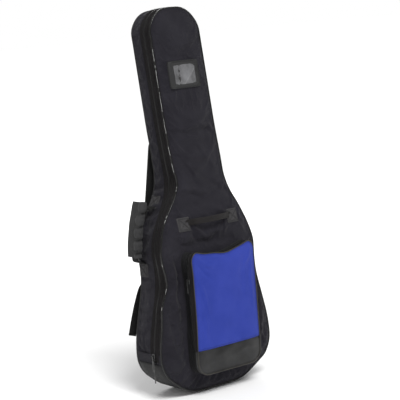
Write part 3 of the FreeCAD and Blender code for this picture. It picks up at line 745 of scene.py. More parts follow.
def heights(low, high, step=.0036):
    """Rows from low to high, closer together at both ends."""
    count = int((high - low) / step)
    t = np.linspace(0, 1, count + 1)
    even = low + (high - low) * t
    close = low + (high - low) * (1 - np.cos(np.pi * t)) / 2
    return even * .85 + close * .15


def face_rows(low, high, columns, inset=0.0, width=half_width):
    """x and z of a face's grid, following the outline's width."""
    z = heights(low, high)
    u = np.sin(np.linspace(-1, 1, columns) * np.pi / 2) * .35 + np.linspace(-1, 1, columns) * .65
    x = u[None, :] * (width(z) - inset)[:, None]
    return x, np.broadcast_to(z[:, None], x.shape)


x, z = face_rows(.0020, 1.0482, 100, .0006)
front = grid("front_panel", xyz(x, front_surface(x, z), z))
held = np.maximum(1 - step_up(edge_distance(x, z), .004, .012), sewn_down(x, z, .006))
off_middle = np.maximum(abs(x - POCKET["middle"]) - POCKET["half"], 0)
off_pocket = np.hypot(off_middle, np.maximum(np.maximum(z - POCKET["high"], POCKET["low"] - z), 0))
held = np.maximum(held, 1 - step_up(off_pocket, .002, .008))
calmer = 1 - .60 * step_up(z, .56, .66)
drape(front, held, .050, 2.0, .0060 * calmer.reshape(-1, 1), .0015, 13)
finish_piece(front, "nylon", ["lid_fabric", "toe_front_fabric", "lid_foam", "toe_front_foam"])
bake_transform(front)


def back_surface(x, z):
    """Y of the back panel's cloth."""
    d = edge_distance(x, z)
    here = xyz(x, 0, z)
    swell = .0045 * puff(d, .050) + .002 * puff(d, .120)
    rumpled = .0014 * cloudy(here, 10, 9.3) + .0008 * cloudy(here, 24, 1.4)
    return back_y(z) + swell + puff(d, .03) * rumpled


back = grid("back_panel", xyz(x, back_surface(x, z), z), flip=True)
finish_piece(back, "nylon", ["back_panel_fabric", "back_panel_foam"])
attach(back, "shell")

# ------------------------------------------------------------ round the sides

loop_z = BAG[:, 1]
fold_right = int(np.argmax(loop_z > FOLD))
top_at = int(np.argmax(loop_z))
fold_left = top_at + int(np.argmax(loop_z[top_at:] < FOLD))
ABOVE = BAG[fold_right:fold_left]
BELOW = np.vstack([BAG[fold_left:], BAG[:fold_right]])
RIGHT_END = np.array([np.interp(FOLD, right_side[:, 1], right_side[:, k]) for k in range(4)])
LEFT_END = RIGHT_END * (-1, 1, -1, 1)
ABOVE = np.vstack([RIGHT_END, ABOVE, LEFT_END])
BELOW = np.vstack([LEFT_END, BELOW, RIGHT_END])


# (height, length, name) of the patches that the side handle is sewn under
SIDE_PATCHES = ((.5275, .034, "upper"), (.3495, .037, "lower"))


def around(line, out, y):
    """Points at an outward offset and a Y; out and y are (rows, columns)."""
    return xyz(line[:, 0:1] + line[:, 2:3] * out, y, line[:, 1:2] + line[:, 3:4] * out)


def band(name, line, shape, look):
    """Strip round the outline; shape is a list of (out, depth behind front)."""
    out, depth = np.array(shape).T[:, None]
    thing = grid(name, around(line, out, front_y(line[:, 1:2]) + depth), flip=True)
    return finish_piece(thing, look)


def gusset_points(line, near, columns, far=.0012):
    """The side's cloth from a depth behind the front to the back edge."""
    t = np.linspace(0, 1, columns)[None, :]
    y0 = front_y(line[:, 1:2]) + near
    y = y0 + (back_y(line[:, 1:2]) - far - y0) * t
    z = line[:, 1:2] + 0 * t
    arch = np.sin(np.pi * t) ** .8
    free = step_up(z, .100, .150)
    here = xyz(run_of(line[:, :2])[:, None], y, z)
    out = free * arch * (.0030 + .0016 * cloudy(here * (1, .45, .3), 16, 4.2))
    # buckles across the side where the outline turns inwards
    for centre, reach, size in ((.545, .060, .0042), (.335, .075, .0022), (.215, .10, .0014)):
        near_it = np.exp(-((z - centre) / reach) ** 2)
        wave = np.sin((z - centre) * 2 * np.pi / .034 + 2.2 * cloudy(here, 9, 1.9))
        out = out + near_it * arch * size * wave
    return around(line, out, y)


upper_sides = grid("side_gusset", gusset_points(ABOVE, .0425, 36), flip=True)
across = np.linspace(0, 1, 36)[None, :] + 0 * ABOVE[:, :1]
from_patch = np.minimum(*(abs(ABOVE[:, 1:2] - height) for height, _, _ in SIDE_PATCHES))
held = np.maximum(np.maximum(1 - step_up(across, .10, .22), step_up(across, .86, .96)),
                  (ABOVE[:, :1] < 0) * np.exp(-(from_patch / .024) ** 6))
drape(upper_sides, held, .045, 1.5, .0048, .0012, 13)
finish_piece(upper_sides, "nylon",
             ["gusset_fabric", "gusset_foam_left", "gusset_foam_right", "gusset_foam_head"])
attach(upper_sides, "shell")
lower_sides = grid("toe_gusset", gusset_points(BELOW, .0010, 40), flip=True)
finish_piece(lower_sides, "nylon", ["gusset_foam_toe"])
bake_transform(lower_sides)


def corded(near, far, out, cords, rise=.0011):
    """Section of a tape with fine raised cords along it."""
    depth = np.linspace(near, far, 36)
    lift = sum(np.exp(-((depth - cord) / .0009) ** 2) for cord in cords)
    return list(zip(out + rise * lift, depth))


strip = band("lid_edge", ABOVE, corded(.0010, .0250, 0, (.0046, .0078), .0009)
             + [(-.0040, .0254), (-LINING, .0254), (-LINING, LINING)], "zip_tape")
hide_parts("lid_edge_strip")
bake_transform(strip)
LID_TAPE = corded(.0100, .0253, .0009, (.0118, .0160, .0205))
SHELL_TAPE = corded(.0297, .0440, .0012, (.0335, .0378, .0428))
BESIDE_LID, BESIDE_SHELL = [(-.0004, .0256), (-.0008, .0274)], [(-.0008, .0275), (-.0004, .0292)]
lid_tape = band("zip_tape_front", ABOVE, [(0, .0098)] + LID_TAPE + BESIDE_LID, "zip_tape")
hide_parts("zip_tape_lid")
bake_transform(lid_tape)
shell_tape = band("zip_tape_rear", ABOVE, BESIDE_SHELL + SHELL_TAPE + [(0, .0446)], "zip_tape")
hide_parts("zip_tape_shell")
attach(shell_tape, "shell")


def coil_run(line):
    """Even places along a zip: x, z, and the directions out and along."""
    run = run_of(line[:, :2])
    where = np.arange(0, run[-1], .0019)
    x, z, nx, nz = (np.interp(where, run, line[:, k]) for k in range(4))
    out = unit(xyz(nx, 0, nz))
    return x, z, out, xyz(-out[:, 2], 0, out[:, 0])


def zip_teeth(name, line, lift, way):
    """Coil of one zip side along a line of the outline."""
    x, z, out, along = coil_run(line)
    centre = xyz(x, front_y(z) + ZIP + way * .0010, z) + out * lift
    made = Threads(name)
    made.teeth(centre, along, out, (.0013, .0020, .0018))
    return finish_piece(made.build(), "zip_coil")


lid_coil = zip_teeth("zip_coil_front", ABOVE, .0004, -1)
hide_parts("zip_coil_lid")
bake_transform(lid_coil)
shell_coil = zip_teeth("zip_coil_rear", ABOVE, .0004, 1)
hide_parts("zip_coil_shell")
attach(shell_coil, "shell")

# below the fold both tapes run on for a little way, sewn to the toe
for label, side in (("left", -1), ("right", 1)):
    tail = BELOW[(BELOW[:, 1] > .106) & (BELOW[:, 0] * side > 0)]
    run_on = band("zip_tail_" + label, tail, [(0, .0098)] + LID_TAPE
                  + [(.0004, .0258), (.0004, .0292)] + SHELL_TAPE + [(0, .0446)], "zip_tape")
    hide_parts("zip_tail")
    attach(run_on, "shell")
    for way, end in ((-1, "front"), (1, "rear")):
        teeth = zip_teeth("zip_tail_coil_%s_%s" % (label, end), tail, .0009, way)
        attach(teeth, "shell")

# the two inner walls of the side, seen when the lid is open
near_y = front_y(ABOVE[:, 1:2]) + .0298
far_y = back_y(ABOVE[:, 1:2]) - LINING
inner = grid("side_lining", around(
    ABOVE, np.array([[-.0012, -.004, -LINING, -LINING - .0006, -LINING, -LINING]]),
    near_y + (far_y - near_y) * np.array([[0, 0, .02, .35, .7, 1]])), flip=True)
finish_piece(inner, "lining")
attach(inner, "shell")
normal = xyz(BELOW[:, 2:3], 0, BELOW[:, 3:4])
toe_inner = grid("toe_lining", gusset_points(BELOW, LINING, 24, LINING) - normal * (LINING + .0008))
finish_piece(toe_inner, "lining", ["gusset_lining"])
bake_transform(toe_inner)


def edge_cord(name, y, out, radius):
    """Piping along the outline."""
    return tube(name, around(BAG, out[:, None], y[:, None])[:, 0], radius, True, 12)


wobble = .0008 * cloudy(xyz(BAG[:, 0], BAG[:, 1], 0), 45, 2.0)
piping = edge_cord("front_piping", front_y(BAG[:, 1]) - .0003 + wobble, -.0010 + wobble, .0024)
# its look paints pale highlight streaks along the piping
finish_piece(piping, "piping_painted_glints", ["lid_piping", "toe_piping"])
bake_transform(piping)
piping = edge_cord("rear_piping", back_y(BAG[:, 1]) + .0003 + wobble, -.0010 - wobble, .0022)
finish_piece(piping, "piping", ["back_piping"])
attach(piping, "shell")

# scuff patch round the toe, its two ends turned in
toe_run = BELOW[BELOW[:, 1] < .1035]
lapped = np.vstack([toe_run[:1], toe_run, toe_run[-1:]])
out = np.tile([0, .0010, .0013, .0013, .0010, 0], (len(lapped), 1))
y = np.tile([-.0512, -.0504, -.030, .030, .0504, .0512], (len(lapped), 1))
out[[0, -1]], y[[0, -1]] = -.0010, [-.0510, -.0500, -.030, .030, .0500, .0510]
scuff = grid("scuff_guard", around(lapped, out, y), flip=True)
finish_piece(scuff, "scuff_vinyl", ["scuff_patch"])
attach(scuff, "shell")

# ------------------------------------------------------------------- linings

x, z = face_rows(.0135, 1.0365, 60, LINING)
hollow = .0015 * puff(edge_distance(x, z) - LINING, .04)
lid_inner = grid("front_lining", xyz(x, front_y(z) + LINING + hollow, z), flip=True)
finish_piece(lid_inner, "lining", ["lid_lining", "toe_front_lining"])
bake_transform(lid_inner)
back_inner = grid("back_lining", xyz(x, back_y(z) - LINING - hollow, z))
finish_piece(back_inner, "lining", ["back_panel_lining"])
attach(back_inner, "shell")


def softened(name, node, look, voxel, passes):
    """Rounded copy of a soft CAD solid."""
    thing = new_object(name, frame["nodes"][node].data.copy())
    for kind, settings in (("REMESH", dict(mode="VOXEL", voxel_size=voxel)),
                           ("SMOOTH", dict(factor=.8, iterations=passes))):
        modifier = thing.modifiers.new(kind.title(), kind)
        for key, value in settings.items():
            setattr(modifier, key, value)
    solid = bpy.data.meshes.new_from_object(
        thing.evaluated_get(bpy.context.evaluated_depsgraph_get()))
    thing.modifiers.clear()
    thing.data = solid
    solid.shade_smooth()
    layer = solid.uv_layers.new(name="Cloth")
    co = np.array([v.co for v in solid.vertices])
    index = np.array([l.vertex_index for l in solid.loops])
    layer.data.foreach_set("uv", np.column_stack([co[index, 0] + co[index, 1], co[index, 2]])
                           .astype(np.float32).ravel())
    return finish_piece(thing, look, [node])


rest = softened("neck_cradle", "neck_rest", "lining", .003, 6)
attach(rest, "shell")
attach(softened("neck_band", "neck_strap", "webbing", .0012, 1), "shell")
toe_pad = softened("toe_cushion", "toe_pad", "toe_rubber", .0015, 2)
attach(toe_pad, "shell")

# --------------------------------------------------------------- front pocket

POCKET_LOOP = start_at_bottom(rounded_loop(
    [(POCKET["middle"] + side * POCKET["half"], POCKET[end])
     for side, end in ((-1, "low"), (1, "low"), (1, "high"), (-1, "high"))],
    [POCKET["bottom"]] * 2 + [POCKET["top"]] * 2, .003))


def pocket_sag(x, z):
    """How far the pocket's cloth hangs down at its top edge."""
    up = step_up(z, .20, POCKET["high"])
    across = (x - POCKET["middle"]) / POCKET["half"]
    dip = np.clip(1 - (across / .86) ** 2, 0, 1)
    corners = .0040 + .0050 * step_up(across, .50, 1)
    return up * (corners - .0152 * dip - .0022 * np.sin(across * 7 + .6) * dip)


def pocket_draw(x, y, z):
    """How far the pocket's left front edge is drawn in."""
    edge = step_up((POCKET["middle"] - x) / POCKET["half"], .30, 1) * step_up(-y, .0950, .1036)
    return .0085 * edge * (1 - .40 * step_up(z, .330, .395)) * (.45 + .55 * step_up(z, .090, .220))


def pocket_width(z):
    """Half width of the pocket at a height."""
    low = np.clip(POCKET["low"] + POCKET["bottom"] - z, 0, None)
    high = np.clip(z - POCKET["high"] + POCKET["top"], 0, None)
    a = POCKET["bottom"] - np.sqrt(np.clip(POCKET["bottom"] ** 2 - low ** 2, 0, None))
    b = POCKET["top"] - np.sqrt(np.clip(POCKET["top"] ** 2 - high ** 2, 0, None))
    return POCKET["half"] - a - b


pocket_distance = distance_to(POCKET_LOOP)


POCKET_FOLDS = [
    ([(-.100, .386), (-.066, .366), (-.030, .356)], .005, .0022),
    ([(-.102, .372), (-.070, .340), (-.035, .318)], .006, -.0018),
    ([(-.104, .345), (-.078, .290), (-.060, .220)], .007, .0018),
    ([(-.090, .250), (-.074, .200), (-.080, .150)], .007, .0014),
    ([(.108, .384), (.090, .352), (.072, .340)], .006, .0022),
    ([(.104, .360), (.096, .290), (.100, .200)], .006, .0020),
    ([(.080, .372), (.060, .320), (.066, .240)], .010, -.0014),
    ([(-.090, .120), (-.050, .108), (.000, .114)], .006, .0016),
    ([(.020, .100), (.060, .112), (.100, .104)], .006, .0018),
    ([(-.080, .082), (-.040, .090), (.020, .080)], .006, -.0016),
]


def hung(x, y, z):
    """The pocket's points, its top edge hanging and its left edge drawn in."""
    return xyz(x + pocket_draw(x, y, z), y, z + pocket_sag(x, z))


def pocket_face(x, z):
    """Points of the pocket's front cloth."""
    d = pocket_distance(x, z)
    here = xyz(x, 0, z)
    swell = .0040 * puff(d, .045) + .0020 * puff(d, .10)
    swell = swell + puff(d, .02) * (.0016 * cloudy(here, 9, 5.5) + .0007 * cloudy(here, 22, 0.3))
    for line, width, height in POCKET_FOLDS:
        swell = swell + puff(d, .015) * ridge(x, z, line, width, height)
    swell = swell - .0016 * np.exp(-((z - FOLD) / .0035) ** 2)
    return hung(x, POCKET["face"] - swell, z)


def pocket_rows(low, high):
    """x and z of a grid over the pocket's face."""
    x, z = face_rows(low, high, 70, .0008, pocket_width)
    return x + POCKET["middle"], z


blue = grid("pocket_front_blue", pocket_face(*pocket_rows(FOLD + .0002, .3942)))
finish_piece(blue, "pocket_blue", ["pocket_panel"])
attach(blue, "pocket_flap")
toe_face = grid("pocket_front_vinyl", pocket_face(*pocket_rows(.0606, FOLD - .0002)))
finish_piece(toe_face, "vinyl", ["pocket_toe_panel"])
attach(toe_face, "shell")


def pocket_line(line, out, y):
    """Points round the pocket at outward offsets and Ys."""
    return hung(*np.moveaxis(around(line, out, y), -1, 0))


above_pocket = POCKET_LOOP[:, 1] > FOLD
first = int(np.argmax(above_pocket))
last = len(above_pocket) - int(np.argmax(above_pocket[::-1]))
POCKET_UP = POCKET_LOOP[first:last]
RIGHT_TOP, LEFT_TOP = (np.array([POCKET["middle"] + side * POCKET["half"], FOLD, side, 0])
                       for side in (1, -1))
POCKET_UP = np.vstack([RIGHT_TOP, POCKET_LOOP[first:last], LEFT_TOP])
POCKET_DOWN = np.vstack([LEFT_TOP, POCKET_LOOP[last:], POCKET_LOOP[:first], RIGHT_TOP])

t = np.linspace(0, 1, 56)[None, :]
loop_z = POCKET_LOOP[:, 1:2]
base = front_surface(POCKET_LOOP[:, 0], POCKET_LOOP[:, 1])[:, None] + .004
y = base + (-.0955 - base) * t
here = xyz(POCKET_LOOP[:, 0:1], y, loop_z)
slump = abs(POCKET_LOOP[:, 2:3]) * step_up(loop_z, .150, .235) * (1 - step_up(loop_z, .315, .360))
arch = np.sin(np.pi * t)
out = -arch * (.0020 + .0100 * slump) + .0022 * cloudy(here * (1, 1, .4), 30, 6.1) * arch
for seam in (.076, .084, .0895):
    out = out + .0014 * np.exp(-((y + seam) / .0011) ** 2)
pocket_side = grid("pocket_gusset_cloth", pocket_line(POCKET_LOOP, out, y),
                   wrap_rows=True, flip=True)
# the pocket's side takes the nylon darkened with painted shade
finish_piece(pocket_side, "pocket_side_shaded_nylon", ["pocket_gusset", "pocket_toe_gusset"])
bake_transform(pocket_side)


def pocket_band(name, line, shape, look):
    out, y = np.array(shape).T[:, None]
    return finish_piece(grid(name, pocket_line(line, out, y), flip=True), look)


def rim_shape(near, bulge):
    """Section of the strip between the pocket's zip and its piping."""
    return [(near, -.0944), (-.0002, -.0950), (bulge, -.0985), (.0002, -.1034), (-.0010, -.1040)]


rim = pocket_band("pocket_rim_cloth", POCKET_UP, rim_shape(-.0030, .0006), "zip_tape")
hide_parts("pocket_rim_strip")
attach(rim, "pocket_flap")
rim = pocket_band("pocket_toe_rim", POCKET_DOWN, rim_shape(-.0020, .0004), "vinyl")
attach(rim, "shell")
coil = Threads("pocket_zip_coil")
x, z, out, along = coil_run(POCKET_UP)
for y in (-.0919, -.0939):
    coil.teeth(xyz(x, y, z + pocket_sag(x, z)) + out * .0002, along, out, (.0013, .0018, .0016))
coil = finish_piece(coil.build(), "zip_coil", ["pocket_zip"])
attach(coil, "lid")

for name, line, body, node in (
        ("pocket_piping_blue", POCKET_UP, "pocket_flap", "pocket_piping_upper"),
        ("pocket_piping_toe", POCKET_DOWN, "shell", "pocket_piping_lower")):
    path = pocket_line(line, .0002, -.1043)[:, 0]
    edge = tube(name, path, .0016, False, 10)
    finish_piece(edge, "pocket_cord", [node])
    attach(edge, body)

# ---------------------------------------------------------------- identity tag

def on_front(x0, z0, lift=.0004):
    """place() for a patch that lies on the front face."""
    def place(x, z, h):
        return xyz(x0 + x, front_surface(x0 + x, z0 + z, False) - h - lift, z0 + z)
    return place


def frame_strip(name, outer, inner, shift, height, look):
    """Raised border between two rectangles, on the front face."""
    rows = []
    for share, h in height:
        lap = section(*(np.array(outer) + (np.array(inner) - outer) * share), 12 - 6 * share, 160)
        x, z = lap[:, 0] + shift * share, lap[:, 1]
        lift = np.asarray(h) + .0034 * step_up(-x, .030, .052) * (1 if h > 0 else 0)
        rows.append(on_front(0, TAG_Z)(x, z, lift))
    return finish_piece(grid(name, np.stack(rows, axis=0), wrap_columns=True), look)


tag = frame_strip("tag_holder", (.104, .075), (.071, .053), .002,
                  [(0, -.001), (.02, .0018), (.10, .0031), (.20, .0019), (.34, .0017), (.62, .0017),
                   (.74, .0030), (.86, .0031), (.97, .0016), (1.06, .0004)], "tag_vinyl")
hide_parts("tag_frame")
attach(tag, "lid")


def window_place(x, z, h):
    """Film of the window, with a fold across it and a raised left edge."""
    fold = x + .021 - z * .03 + .003 * np.sin(z * 160)
    lift = (.0012 + .0016 * step_up(-x, .028, .036) + .0034 * np.exp(-(fold / .0019) ** 2)
            - .0016 * np.exp(-((fold - .0045) / .0022) ** 2)
            + .0010 * np.exp(-((x - z - .018) / .004) ** 2))
    return on_front(.002, TAG_Z)(x, z, h * 0 + lift)


u, v = np.meshgrid(np.linspace(-.0362, .0362, 60), np.linspace(-.0272, .0272, 40))
window = grid("tag_window_film", window_place(u, v, 0 * u))
finish_piece(window, "clear_window", ["tag_window"])
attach(window, "lid")

# --------------------------------------------------------------- front handle

threads = {key: Threads("stitches_" + key) for key in ("lid", "shell", "flap", "front")}


def square_stitches(group, place, width, height, lift, cross=True):
    """Box of stitches with a cross in it."""
    w, h = width / 2, height / 2
    corners = [(-w, -h), (w, -h), (w, h), (-w, h)]
    lines = [(corners[k], corners[(k + 1) % 4]) for k in range(4)]
    if cross:
        lines += [(corners[0], corners[2]), (corners[1], corners[3])]
    for a, b in lines:
        s = np.linspace(0, 1, 12)
        x, z = a[0] + (b[0] - a[0]) * s, a[1] + (b[1] - a[1]) * s
        low, high = place(x, z, 0 * x + lift), place(x, z, 0 * x + lift + .001)
        threads[group].run(low, high - low)


for side, label in ((-1, "left"), (1, "right")):
    place = on_front(side * HANDLE_X, HANDLE_Z)
    patch = raised("front_patch_" + label, place, .038, .038, .0022)
    finish_piece(patch, "grey_web", ["front_handle_patch_" + label])
    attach(patch, "lid")
    square_stitches("lid", place, .031, .031, .0023)

ends = [float(front_surface(x, HANDLE_Z, False)) for x in (.077, .066)]
half_grip = [(.077, ends[0] - .0002, .4715), (.066, ends[1] - .0020, .4732), (.052, -.0700, .4745),
             (.028, -.0762, .4752)]
grip_path = smooth_path([(-x, y, z) for x, y, z in half_grip] + [(0, -.0780, .4750)]
                        + half_grip[::-1], 60)
s = np.linspace(0, 1, 60)[:, None]
folded = section(1, 1, 3, 24)[None] * np.stack([.0185 - .0030 * np.sin(np.pi * s),
                                                .0024 + .0024 * np.sin(np.pi * s)], axis=-1)
grip = sweep("front_grip", grip_path, (0, -1, 0), folded)
finish_piece(grip, "grip_web", ["front_handle_grip"])
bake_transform(grip)

# ---------------------------------------------------------------- side handle

SIDE_Y = .034


def on_side(z0, lift=.0006):
    """place() for a patch that lies on the left side; x runs along Y."""
    def place(y, z, h):
        at, nx, nz = (np.interp(z0 + z, right_side[:, 1], right_side[:, k]) for k in (0, 2, 3))
        out = h + lift + .0030
        return xyz(-(at + nx * out), SIDE_Y + y, z0 + z + nz * out)
    return place


for z0, tall, label in SIDE_PATCHES:
    patch = raised("side_patch_" + label, on_side(z0), .038, tall, .0022)
    finish_piece(patch, "grey_web", ["side_handle_patch_" + label])
    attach(patch, "shell")
    square_stitches("shell", on_side(z0), .031, tall - .007, .0024)

upper_web = smooth_path([(-.1200, SIDE_Y, .5180), (-.1300, SIDE_Y, .5085), (-.1420, SIDE_Y, .5180),
                         (-.1500, SIDE_Y, .5270), (-.1560, SIDE_Y, .5200),
                         (-.1600, SIDE_Y, .5020)], 30)
lower_web = smooth_path([(-.1500, SIDE_Y, .3560), (-.1650, SIDE_Y, .3700), (-.1760, SIDE_Y, .3735),
                         (-.1848, SIDE_Y, .3790), (-.1862, SIDE_Y, .3970)], 40)
for name, path, start, end in (
        ("side_web_upper", upper_web, (-.124, SIDE_Y, .508), (-.146, SIDE_Y, .524)),
        ("side_web_lower", lower_web, (-.168, SIDE_Y, .370), (-.186, SIDE_Y, .374))):
    up = np.cross(np.gradient(path, axis=0), (0, 1, 0))
    web = sweep(name, path, up, section(.028, .0028, 5, 20))
    finish_piece(web, "webbing", ["side_handle_webbing"])
    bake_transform(web)
    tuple(start)
    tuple(end)

WRAP_TOP, WRAP_LOW = Vector((-.1540, SIDE_Y, .5362)), Vector((-.1863, SIDE_Y, .3897))
wrap_middle = WRAP_TOP.lerp(WRAP_LOW, .5) + Vector((-.0045, 0, 0))
wrap_path = smooth_path([WRAP_TOP, wrap_middle, WRAP_LOW], 90)
s = np.linspace(0, 1, 90)[:, None]
ends_in = 1 - .10 * (2 * s - 1) ** 8
base_shape = section(.046, .0185, 5, 40)
dent = 1 - .05 * np.exp(-((s - .5) / .006) ** 2) + .012 * np.sin(s * 17 + 1)
shape = base_shape[None] * (ends_in * dent)[..., None]
wrap = sweep("grip_wrap", wrap_path + np.array([-.0014, .0024, 0]), (-1, 0, 0), shape)
finish_piece(wrap, "grip_wrap", ["side_handle_wrap"])
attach(wrap, "side_handle")
# its closing edge is drawn up into puffs along the front
base_shape = section(.0195, .0225, 2.2, 30)
puffs = .46 + .66 * abs(np.sin(np.pi * 4.2 * s + .5)) ** .45 + .04 * np.sin(s * 61)
edge_path = wrap_path + np.array([-.0006, -.0142, 0]) + np.column_stack(
    [.0010 * np.sin(s[:, 0] * 31), .0014 * np.sin(s[:, 0] * 23 + 1), 0 * s[:, 0]])
edge = sweep("grip_wrap_edge", edge_path, (-1, 0, 0),
             base_shape[None] * (puffs * ends_in)[..., None])
# its look paints shade into the creases between the puffs
finish_piece(edge, "wrap_edge")
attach(edge, "side_handle")

# ------------------------------------------------------------ shoulder straps


def on_back(x0, z0):
    """place() for a patch that lies on the back."""
    def place(x, z, h):
        return xyz(x0 - x, back_surface(x0 + x, z0 + z) + h, z0 + z)
    return place


WEBBING = section(.025, .0020, 5, 20)


def strap_frame(side):
    """Turns the strap's own (across, away, down) into the bag's frame."""
    turn = math.radians(10.3) * side

    def place(points):
        p = np.asarray(points, float)
        x, y, z = p[..., 0], p[..., 1], -p[..., 2]
        return xyz(side * STRAP_OUT + x * math.cos(turn) - z * math.sin(turn), y,
                   STRAP_TOP + x * math.sin(turn) + z * math.cos(turn))
    return place


for name, side in (("left", -1), ("right", 1)):
    place = strap_frame(side)
    body = name + "_strap"
    # padded part
    local = smooth_path([(0, .0735, .022), (0, .0785, .042), (0, .0805, .150), (0, .0795, .245),
                         (0, .0770, .330), (0, .0770, .396)], 110)
    path = place(local)
    s = np.linspace(0, 1, 110)[:, None]
    taper = (1 - .30 * step_up(s, .90, 1.0)) * (.80 + .20 * step_up(s, 0, .06))
    base_shape = section(.052, .0105, 3.2, 36)
    quilt = 1 - .10 * np.exp(-(((s * 8) % 1 - .5) / .10) ** 2)
    shape = np.stack([base_shape[None, :, 0] * taper, base_shape[None, :, 1] * quilt], axis=-1)
    pad = sweep("strap_pad_" + name, path, (0, 1, 0), shape)
    finish_piece(pad, "strap_mesh", ["strap_%s_pad" % name])
    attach(pad, body)
    for way in (-1, 1):
        edge = local + np.column_stack([way * .0258 * taper[:, 0], 0 * s[:, 0], 0 * s[:, 0]])
        binding = sweep("strap_binding_%s_%s" % (name, "in" if way * side < 0 else "out"),
                        place(edge), (0, 1, 0), section(.0042, .0075, 2.5, 12))
        finish_piece(binding, "webbing")
        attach(binding, body)
    # upper anchor, from the yoke patch to the pad
    top = place(smooth_path([(0, .0700, -.012), (0, .0700, .004), (0, .0735, .022),
                             (0, .0788, .046)], 24))
    anchor = sweep("strap_anchor_" + name, top, (0, 1, 0), section(.040, .0050, 4, 20))
    finish_piece(anchor, "webbing")
    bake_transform(anchor)
    # webbing to the lower tab
    low = place(smooth_path([(0, .0765, .388), (0, .0777, .402), (0, .0800, .412), (0, .0755, .424),
                             (0, .0760, .436), (0, .0712, .500), (0, .0640, .560),
                             (0, .0615, .588), (0, .0602, .600)], 90))
    web = sweep("strap_web_" + name, low, (0, 1, 0), WEBBING)
    finish_piece(web, "webbing", ["strap_%s_webbing" % name])
    tuple(place((0, .060, .592)))
    tuple(place((0, .066, .560)))
    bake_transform(web)
    # free tail below the buckle
    tail = [(side * out, y, down) for out, y, down in (
        (0, .0805, .416), (.006, .0860, .424), (.013, .0915, .440), (.021, .0940, .480),
        (.027, .0950, .520), (.033, .0945, .566))]
    tail = sweep("strap_tail_" + name, place(smooth_path(tail, 50)), (0, 1, 0), WEBBING)
    finish_piece(tail, "webbing")
    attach(tail, body)
    # lower tab on the back
    tab_place = on_back(side * .150, .115)
    tab = raised("strap_anchor_tab_" + name, tab_place, .036, .034, .0022)
    finish_piece(tab, "grey_web", ["strap_%s_tab" % name])
    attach(tab, "shell")
    square_stitches("shell", tab_place, .029, .027, .0024)


yoke_place = on_back(0, .725)
yoke = raised("strap_yoke", yoke_place, .140, .042, .0022, columns=120, cross=False)
finish_piece(yoke, "grey_web", ["strap_yoke_patch"])
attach(yoke, "shell")
square_stitches("shell", yoke_place, .132, .034, .0024, cross=False)

# ------------------------------------------------------------------- stitches

row = around(ABOVE, .0032, front_y(ABOVE[:, 1:2]) + .0418)[:, 0]
threads["shell"].run(row, xyz(ABOVE[:, 2], 0, ABOVE[:, 3]))
inset = .0058
x, z = (BAG[:, k] - BAG[:, k + 2] * inset for k in (0, 1))
threads["front"].run(xyz(x, front_surface(x, z, False) - .0002, z), (0, -1, 0), .0040)
for key, line in (("flap", POCKET_UP), ("shell", POCKET_DOWN)):
    path = pocket_face(*(line[:, k] - line[:, k + 2] * .0050 for k in (0, 1)))
    threads[key].run(path, (0, -1, 0))
path = pocket_face(np.linspace(-.102, .102, 60), np.full(60, FOLD + .0042))
threads["flap"].run(path, (0, -1, 0))

for end in (toe_run[0], toe_run[-1]):
    y = np.linspace(-.050, .050, 30)
    path = around(end[None, :], np.full((1, 30), .0015), y[None, :])[0]
    path[:, 2] -= .0030
    threads["shell"].run(path, (end[2], 0, end[3]))
square_stitches("lid", on_front(0, TAG_Z), .098, .069, .0024, cross=False)
for key, body in (("lid", "lid"), ("shell", "shell"), ("flap", "pocket_flap")):
    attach(finish_piece(threads[key].build(), "thread"), body)
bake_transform(finish_piece(threads["front"].build(), "thread"))

# ------------------------------------------------ hard parts kept from the CAD

KEPT = {"nickel": ["main_slider_lower", "main_slider_upper", "main_pull_lower", "main_pull_upper"],
        "dark_metal": ["pocket_slider", "pocket_pull"],
        "buckle": ["strap_left_buckle", "strap_right_buckle"]}
for look, names in KEPT.items():
    for name in names:
        node = frame["nodes"][name]
        node.data.materials.clear()
        node.data.materials.append(looks[look].material)
        edge = node.modifiers.new("Soft edges", "BEVEL")
        edge.width, edge.segments, edge.limit_method = .0004, 3, "ANGLE"
        SLOTS.get(look, look)

# ------------------------------------------------------- floor, light, camera


def aimed(way):
    return way.to_track_quat("-Z", "Y").to_euler()


def lamp(name, location, target, size, power):
    light = bpy.data.lights.new(name, "AREA")
    light.shape, light.size, light.size_y = "RECTANGLE", size[0], size[1]
    light.energy = power
    thing = new_object(name, light)
    thing.location = location
    thing.rotation_euler = aimed(Vector(target) - Vector(location))


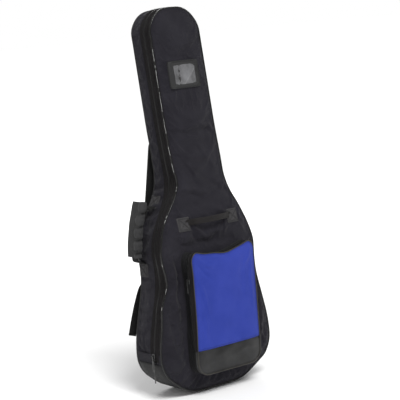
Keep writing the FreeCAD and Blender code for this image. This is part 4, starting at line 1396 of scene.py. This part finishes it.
floor = new_mesh("floor", [(-40, -40, 0), (40, -40, 0), (40, 40, 0), (-40, 40, 0)], [(0, 1, 2, 3)])
floor_look = mottled("pale_floor", 3, 2, grey(.92), grey(.94), 1.0, Specular_IOR_Level=0.0)
floor.data.materials.append(floor_look.material)

world = bpy.data.worlds.new("studio")
bpy.context.scene.world = world
world.use_nodes = True
nodes, links = world.node_tree.nodes, world.node_tree.links
nodes["Background"].inputs["Color"].default_value = (1, 1, 1, 1)
nodes["Background"].inputs["Strength"].default_value = .50
lit = nodes.new("ShaderNodeBackground")
lit.inputs["Color"].default_value = (1, 1, 1, 1)
path_kind, pick = nodes.new("ShaderNodeLightPath"), nodes.new("ShaderNodeMixShader")
links.new(path_kind.outputs["Is Camera Ray"], pick.inputs[0])
links.new(nodes["Background"].outputs[0], pick.inputs[1])
links.new(lit.outputs[0], pick.inputs[2])
links.new(pick.outputs[0], nodes["World Output"].inputs[0])

sun = bpy.data.lights.new("window", "SUN")
sun.energy, sun.angle = 2.5, math.radians(26)
new_object("window", sun).rotation_euler = aimed(Vector((.14, .68, -1.0)))
lamp("strip", (-3.2, -.9, .8), (0, 0, .6), (.10, 3.2), 12)
lamp("behind", (2.4, 3.4, 2.4), (0, 0, .5), (2, 2), 70)

camera = new_object("camera", bpy.data.cameras.new("camera"))
azimuth, elevation, roll = (math.radians(angle) for angle in (-37.5, 7.9, -4.5))
back_way = Vector((math.sin(azimuth) * math.cos(elevation),
                   -math.cos(azimuth) * math.cos(elevation), math.sin(elevation)))
level = Vector((0, 0, 1)).cross(back_way).normalized()
upward = back_way.cross(level)
across = level * math.cos(roll) + upward * math.sin(roll)
upward = -level * math.sin(roll) + upward * math.cos(roll)
turn = Matrix((across, upward, back_way)).transposed()
camera.matrix_world = Matrix.Translation(Vector((0, 0, .525)) + back_way * 3.783) @ turn.to_4x4()
camera.data.lens, camera.data.sensor_width = 123.9, 36
camera.data.shift_x, camera.data.shift_y = .0175, -.00375
bpy.context.scene.camera = camera
bpy.context.scene.view_settings.view_transform = "Standard"
